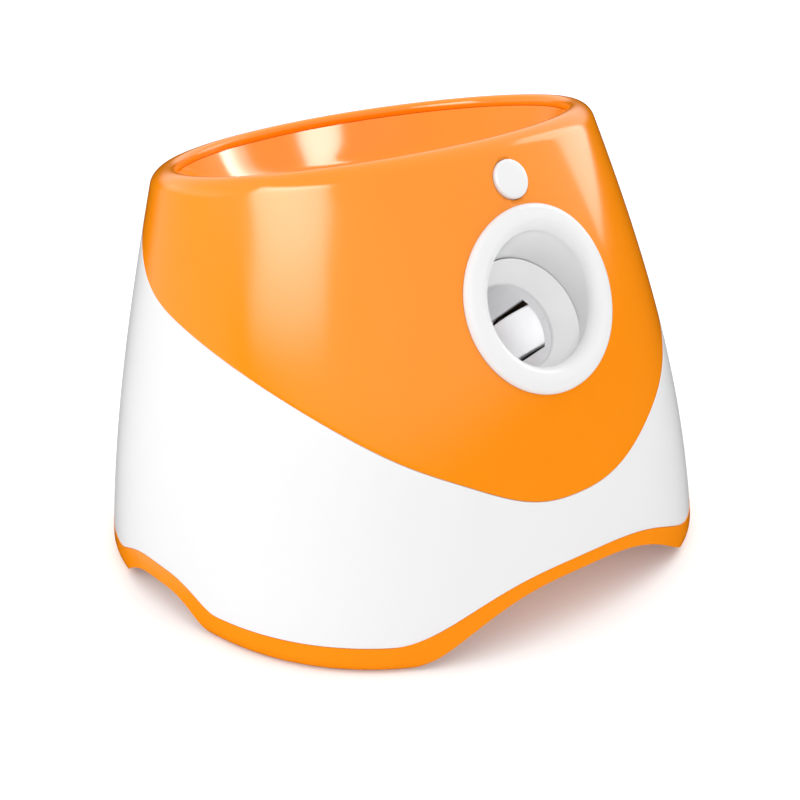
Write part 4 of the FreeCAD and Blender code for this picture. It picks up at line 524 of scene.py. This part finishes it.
def metal(name, colour, roughness):
    """Bare or plated metal with a fine grain."""
    material = uneven_finish(name, colour, roughness, spread=0.3, grain=900.0)[0]
    material.node_tree.nodes["Principled BSDF"].inputs["Metallic"].default_value = 1.0
    return material


def coil_spring():
    """Round wire that follows the coil, closed at both ends."""
    steps, around = 48 * (SPRING_TURNS + 1), 12
    low = SPRING_LOW + SPRING_WIRE / 2 + SPRING_GAP
    high = SPRING_HIGH - SPRING_WIRE / 2 - SPRING_GAP
    vertices = []
    for k in range(steps + 1):
        wound = (SPRING_TURNS + 1) * k / steps
        turn = 2 * math.pi * wound
        height = low + (high - low) * min(1.0, max(0.0, (wound - 0.5) / SPRING_TURNS))
        for a in turns(around):
            radius, rise = SPRING_RADIUS + SPRING_WIRE / 2 * math.cos(a), SPRING_WIRE / 2 * math.sin(a)
            point = Vector((radius * math.cos(turn), radius * math.sin(turn), height + rise))
            vertices.append(button_place @ point * MM)
    faces = [tuple(range(around)), tuple(reversed(range(steps * around, (steps + 1) * around)))]
    for k in range(steps):
        for j in range(around):
            a, b = k * around, (k + 1) * around
            faces.append((a + j, b + j, b + (j + 1) % around, a + (j + 1) % around))
    mesh = bpy.data.meshes.new("coil_spring")
    mesh.from_pydata(vertices, [], faces)
    mesh.shade_smooth()
    return placed("coil_spring", mesh)


steel = metal("steel", STEEL_GREY, roughness=0.28)
spring_piece = coil_spring()
dress(spring_piece, "button_spring", steel)
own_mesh(spring_piece)

# ---------------------------------------------------------------- Barrel and chute
# Two off-white mouldings that meet along the barrel. The lower one is the barrel's lower half on
# its legs, with the motor plates; the upper one carries the chute and the riser to the throat.
INNER_WHITE = (0.72, 0.72, 0.73, 1.0)

inner_white = moulded("inner_white", INNER_WHITE, roughness=0.34)
finish_nodes(inner_white, "feed_chute", "launch_frame")

# ---------------------------------------------------------------- Launch wheels
# Smooth white tyres on grey hubs, one each side of the barrel. Each is pressed on the shaft of
# its own motor and reaches into the barrel through a window.
WHEEL_X, WHEEL_DEPTH = 52.0, 45.0
TYRE_RADIUS, TYRE_BORE_RADIUS, TYRE_HALF_WIDTH = 32.0, 25.0, 12.0
TYRE_PROFILE = ((TYRE_BORE_RADIUS, -TYRE_HALF_WIDTH), (30.6, -TYRE_HALF_WIDTH), (31.1, -11.9),
                (31.6, -11.6), (31.9, -11.1), (TYRE_RADIUS, -10.6), (TYRE_RADIUS, 10.6), (31.9, 11.1),
                (31.6, 11.6), (31.1, 11.9), (30.6, TYRE_HALF_WIDTH), (TYRE_BORE_RADIUS, TYRE_HALF_WIDTH))
TYRE_WHITE = (0.93, 0.93, 0.94, 1.0)
HUB_GREY = (0.3, 0.31, 0.33, 1.0)

wheel_white = moulded("wheel_white", TYRE_WHITE, roughness=0.38)
hub_grey = moulded("hub_grey", HUB_GREY, roughness=0.45)
tyre_pieces = []
for side, body in ((-1, "left_wheel"), (1, "right_wheel")):
    axle = Matrix.Translation((side * WHEEL_X, 0, -WHEEL_DEPTH)) @ Matrix.Rotation(-math.pi / 2, 4, "X")
    tyre = turned(body + "_tyre_round", launch_place @ axle, TYRE_PROFILE, count=192)
    dress(tyre, body + "_tyre", wheel_white, body)
    tyre_pieces.append(tyre)
    finish_nodes(hub_grey, body + "_hub")

# ---------------------------------------------------------------- Wheel motors
# Two small direct-current motors, drawn plated cans with black end caps. Each is screwed to a
# plate of the frame and turns one wheel on its steel shaft.
CAN_GREY = (0.55, 0.56, 0.58, 1.0)
PLASTIC_BLACK = (0.012, 0.012, 0.014, 1.0)

motor_can = metal("motor_can", CAN_GREY, roughness=0.36)
black_plastic = moulded("black_plastic", PLASTIC_BLACK, roughness=0.42)
finish_nodes(motor_can, "left_motor", "right_motor")
finish_nodes(black_plastic, "left_motor_cap", "right_motor_cap")
finish_nodes(steel, "left_motor_shaft", "right_motor_shaft")

# ---------------------------------------------------------------- Gate
# Orange moulded arm on a steel shaft, which holds the next ball back. Its white gear is driven by
# the black pinion of a third motor, and a grey moulded bracket carries that motor.
ARM_ORANGE = (0.85, 0.18, 0.012, 1.0)
GEAR_WHITE = (0.74, 0.73, 0.69, 1.0)
BRACKET_GREY = (0.55, 0.56, 0.57, 1.0)

gate_orange = moulded("gate_orange", ARM_ORANGE, roughness=0.4)
gear_white = moulded("gear_white", GEAR_WHITE, roughness=0.4)
inner_grey = moulded("inner_grey", BRACKET_GREY, roughness=0.4)
finish_nodes(gate_orange, "gate_arm")
finish_nodes(steel, "gate_shaft")
finish_nodes(gear_white, "gate_gear")
finish_nodes(black_plastic, "gate_pinion")
finish_nodes(motor_can, "gate_motor")
finish_nodes(inner_grey, "gate_bracket")

# ---------------------------------------------------------------- Boards, switch and ball sensor
# Green lacquered circuit boards with their parts soldered on: black chips, blue relays, dark
# blue capacitors and white plugs. The switch sits under the button, the sensor at the chute.
BOARD_GREEN = (0.01, 0.1, 0.035, 1.0)
RELAY_BLUE = (0.02, 0.1, 0.35, 1.0)
CAPACITOR_BLUE = (0.01, 0.015, 0.08, 1.0)

board_green = moulded("board_green", BOARD_GREEN, roughness=0.3, ripple=0.00002, ripple_size=0.002)
relay_blue = moulded("relay_blue", RELAY_BLUE, roughness=0.35)
can_blue = moulded("can_blue", CAPACITOR_BLUE, roughness=0.25)
finish_nodes(board_green, "control_board", "button_board")
finish_nodes(black_plastic, "board_chips", "button_switch", "sensor_emitter", "sensor_receiver")
finish_nodes(relay_blue, "board_relays")
finish_nodes(can_blue, "board_capacitors")
finish_nodes(gear_white, "board_connectors")

# ---------------------------------------------------------------- Batteries and socket
# Six cells in three columns, in a grey moulded box on the tray's floor, with brass plates at their
# ends. The orange door hooks into the tray below them. The black socket for a plug-in supply is
# held at the back by a steel nut.
BRASS_YELLOW = (0.80, 0.60, 0.28, 1.0)
CELL_BLACK = (0.02, 0.02, 0.022, 1.0)

brass = metal("brass", BRASS_YELLOW, roughness=0.3)
cell_wrap = moulded("cell_wrap", CELL_BLACK, roughness=0.22)
finish_nodes(inner_grey, "battery_box")
finish_nodes(cell_wrap, *("battery_cell_%d" % k for k in range(1, 7)))
finish_nodes(brass, "battery_contacts")
finish_nodes(orange_plastic, "battery_door")
finish_nodes(black_plastic, "dc_socket")
finish_nodes(steel, "dc_socket_nut")

# ---------------------------------------------------------------- Screws
# Pan-head steel screws. Those of the casing and the frame go up through the tray's floor, and
# smaller ones hold the barrel's halves, the motors and the boards.
finish_nodes(steel, "casing_screws", "frame_screws", "barrel_screws", "motor_screws", "bracket_screws",
             "button_screws", "board_screws")

# ---------------------------------------------------------------- Floor and sky
# Plain matt floor in a pale grey, which the gloss doesn't mirror. The sky is white above and
# fades out at the horizon, so that the casing darkens softly towards its foot; the camera itself
# sees an even white sky.
FLOOR_RADIUS = 12.0
FLOOR_GREY = (0.68, 0.68, 0.68, 1.0)
SKY_DARK_BELOW, SKY_FULL_ABOVE, SKY_STRENGTH = -0.02, 0.22, 1.06

floor_mesh = bpy.data.meshes.new("studio_floor")
floor_ring = [(FLOOR_RADIUS * math.cos(a), FLOOR_RADIUS * math.sin(a), 0.0) for a in turns(64)]
floor_mesh.from_pydata(floor_ring, [], [tuple(range(64))])
floor = placed("studio_floor", floor_mesh)
floor_mesh.materials.append(moulded("studio_floor", FLOOR_GREY, roughness=0.8))
floor.visible_glossy = False

scene = bpy.context.scene
scene.view_settings.view_transform = "Standard"
world = bpy.data.worlds.new("studio")
world.use_nodes = True
sky_nodes, sky_links = world.node_tree.nodes, world.node_tree.links
backdrop = sky_nodes["Background"]
backdrop.inputs["Color"].default_value = (1.0, 1.0, 1.0, 1.0)
direction = sky_nodes.new("ShaderNodeTexCoord")
upwards = sky_nodes.new("ShaderNodeSeparateXYZ")
sky = sky_nodes.new("ShaderNodeMapRange")
sky.interpolation_type = "SMOOTHSTEP"
sky.inputs["From Min"].default_value = SKY_DARK_BELOW
sky.inputs["From Max"].default_value = SKY_FULL_ABOVE
sky.inputs["To Max"].default_value = SKY_STRENGTH
seen_straight = sky_nodes.new("ShaderNodeLightPath")
brighter = sky_nodes.new("ShaderNodeMath")
brighter.operation = "MAXIMUM"
sky_links.new(direction.outputs["Generated"], upwards.inputs["Vector"])
sky_links.new(upwards.outputs["Z"], sky.inputs["Value"])
sky_links.new(sky.outputs["Result"], brighter.inputs[0])
sky_links.new(seen_straight.outputs["Is Camera Ray"], brighter.inputs[1])
sky_links.new(brighter.outputs["Value"], backdrop.inputs["Strength"])
scene.world = world

# ---------------------------------------------------------------- Lamps
# Curved glowing sails and one upright box show only in the machine's gloss and give the streaks
# there. The other boxes light the colours softly, some of them on the bowl, the muzzle or the
# inside of the port alone.
FLOOR_LAMP_RADIUS, FLOOR_LAMP_HEIGHT, FLOOR_LAMP_RADIANCE = 3.0, 3.0, 1.2


def shine_on(lamp, seen_by=(), hidden_from=(), shaded_by=()):
    """Lets a lamp light some pieces only, or all but some, and be shaded by a few pieces only."""
    if shaded_by:
        shade = bpy.data.collections.new(lamp.name + "_shade")
        for piece in shaded_by:
            shade.objects.link(piece)
        lamp.light_linking.blocker_collection = shade
    if seen_by or hidden_from:
        lit = bpy.data.collections.new(lamp.name + "_lit")
        for piece in (*seen_by, *hidden_from):
            lit.objects.link(piece)
        for link in lit.collection_objects:
            link.light_linking.link_state = "INCLUDE" if seen_by else "EXCLUDE"
        lamp.light_linking.receiver_collection = lit


def softbox(name, azimuth, distance, low, high, width, radiance, streak=False,
            seen_by=(), hidden_from=(), shaded_by=()):
    """Upright lamp round the machine; the azimuth runs from the front to the right. A streak lamp
    shows only in the gloss, the others only light the colours."""
    lamp = bpy.data.lights.new(name, "AREA")
    lamp.shape = "RECTANGLE"
    lamp.size, lamp.size_y = width, high - low
    lamp.energy = radiance * math.pi * width * (high - low)
    box = placed(name, lamp)
    a = math.radians(azimuth)
    box.location = (distance * math.sin(a), -distance * math.cos(a), (low + high) / 2)
    box.rotation_euler = (math.pi / 2, 0, a)
    box.visible_glossy = streak
    box.visible_diffuse = not streak
    shine_on(box, seen_by, hidden_from, shaded_by)


def sail(name, rows, across, seen_by=(), hidden_from=()):
    """Glowing panel that shows only in the gloss. A row gives the azimuth and elevation of its two
    ends and its glow; across gives how the glow runs from one end to the other."""
    distance, eye_height, wide, high = 2.0, 0.2, 24, 8
    vertices, glow = [], []
    for k in range((len(rows) - 1) * high + 1):
        row = min(k // high, len(rows) - 2)
        share = k / high - row
        left_a, left_e, right_a, right_e, light = (
            start + (end - start) * share for start, end in zip(rows[row], rows[row + 1]))
        for j in range(wide + 1):
            t = j / wide
            a = math.radians(left_a + (right_a - left_a) * t)
            e = math.radians(left_e + (right_e - left_e) * t)
            vertices.append((distance * math.sin(a) * math.cos(e), -distance * math.cos(a) * math.cos(e),
                             eye_height + distance * math.sin(e)))
            glow.append(light * across(t))
    faces = []
    for k in range((len(rows) - 1) * high):
        for j in range(wide):
            c = k * (wide + 1) + j
            faces.append((c, c + 1, c + wide + 2, c + wide + 1))
    mesh = bpy.data.meshes.new(name)
    mesh.from_pydata(vertices, [], faces)
    mesh.attributes.new("glow", "FLOAT", "POINT").data.foreach_set("value", glow)
    material = bpy.data.materials.new(name)
    material.use_nodes = True
    nodes, links = material.node_tree.nodes, material.node_tree.links
    nodes.clear()
    strength, lit, clear, both, surface = (nodes.new("ShaderNode" + kind) for kind in (
        "Attribute", "Emission", "BsdfTransparent", "AddShader", "OutputMaterial"))
    strength.attribute_name = "glow"
    links.new(strength.outputs["Fac"], lit.inputs["Strength"])
    links.new(lit.outputs["Emission"], both.inputs[0])
    links.new(clear.outputs["BSDF"], both.inputs[1])
    links.new(both.outputs["Shader"], surface.inputs["Surface"])
    mesh.materials.append(material)
    panel = placed(name, mesh)
    for seen in ("camera", "diffuse", "transmission", "volume_scatter", "shadow"):
        setattr(panel, "visible_" + seen, False)
    shine_on(panel, seen_by, hidden_from)


def soft_sides(t):
    """Brightest in the middle, fading to both ends."""
    return min(1.0, 12 * min(t, 1 - t)) * (0.5 + 0.5 * bell(1.6 * (t - 0.5)))


def even(t):
    """The same all along, with short soft ends."""
    return min(1.0, 6 * t, 6 * (1 - t))


def bright_left(t):
    """Brightest just inside the left end, then falling away."""
    return min(1.0, 14 * t, 6 * (1 - t)) * (0.25 + 0.75 * bell(1.4 * t))


bowl = [funnel_piece]
port_inside = [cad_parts["feed_chute"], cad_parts["launch_frame"], *tyre_pieces]
sail("left_sail", ((-104, 60, -35, 50, 0.0), (-96, 52, -35, 46, 11.0), (-88, 40, -35, 40, 12.0),
                   (-88, 33, -35, 36, 8.5), (-82, 17, -36, 33, 8.0), (-84, 14, -40, 30, 7.6),
                   (-86, 12, -42, 28, 6.4), (-88, 10, -45, 25, 5.4), (-92, 7, -48, 21, 4.3),
                   (-93, 5, -50, 18, 3.0), (-95, 3, -52, 15, 1.4), (-95, 1, -54, 12, 0.0)),
     soft_sides, hidden_from=[funnel_piece, bezel_piece, muzzle_piece])
sail("left_haze", ((-96, 35, -175, 35, 0.0), (-96, 15, -175, 15, 0.6), (-96, -30, -175, -30, 0.6)),
     even, hidden_from=[funnel_piece, lower_wall_piece])
sail("bowl_right_sail", ((82, 44, 62, 47, 16.0), (79, 20, 60, 26, 18.0), (78, 8, 59, 12, 18.0),
                         (78, 0, 58, 4, 18.0)), bright_left, seen_by=bowl)
sail("bowl_front_sail", ((50, 66, 40, 70, 14.0), (50, 52, 30, 60, 14.0), (38, 42, 18, 48, 15.0),
                         (32, 29, 9, 36, 16.0), (32, 24, 5, 30, 16.0), (34, 5, 2, 8, 16.0)),
     soft_sides, seen_by=bowl)
softbox("right_box", azimuth=86, distance=1.6, low=0.3, high=1.7, width=0.6, radiance=2.6, streak=True,
        hidden_from=bowl)
softbox("bowl_fill", azimuth=0, distance=1.2, low=1.0, high=2.0, width=1.2, radiance=1.6, seen_by=bowl)
softbox("muzzle_fill", azimuth=-35, distance=1.4, low=0.3, high=1.0, width=0.7, radiance=2.2,
        seen_by=[muzzle_piece])
softbox("wheel_fill", azimuth=-58, distance=1.3, low=0.4, high=1.0, width=0.6, radiance=9.0,
        seen_by=port_inside, shaded_by=[floor])
softbox("left_fill", azimuth=-115, distance=1.8, low=0.5, high=1.5, width=1.0, radiance=3.8)
softbox("right_fill", azimuth=95, distance=1.8, low=0.5, high=1.5, width=1.0, radiance=3.4)
softbox("front_fill", azimuth=-20, distance=2.0, low=0.8, high=1.8, width=1.0, radiance=1.5)

floor_lamp = bpy.data.lights.new("floor_fill", "AREA")
floor_lamp.shape = "DISK"
floor_lamp.size = 2 * FLOOR_LAMP_RADIUS
floor_lamp.energy = FLOOR_LAMP_RADIANCE * math.pi * math.pi * FLOOR_LAMP_RADIUS ** 2
floor_box = placed("floor_fill", floor_lamp)
floor_box.location = (0.0, 0.0, FLOOR_LAMP_HEIGHT)
floor_box.visible_glossy = False
shine_on(floor_box, seen_by=[floor], shaded_by=[floor])

# ---------------------------------------------------------------- Camera
# It stands in front of the machine on its left and looks down on the port through a long lens.
# The shift only sets the machine in the middle of the frame.
LOOK_AT = Vector((0.0, 0.0, 0.136))
TOWARDS_CAMERA = Vector((-0.6011, -0.7095, 0.3677)).normalized()
CAMERA_DISTANCE = 1.0924

lens = bpy.data.cameras.new("camera")
lens.sensor_width = 36.0
lens.lens = 84.2
lens.shift_x = -0.00575
lens.shift_y = -0.1075
camera = placed("camera", lens)
camera.location = LOOK_AT + TOWARDS_CAMERA * CAMERA_DISTANCE
camera.rotation_euler = (-TOWARDS_CAMERA).to_track_quat("-Z", "Y").to_euler()
scene.camera = camera
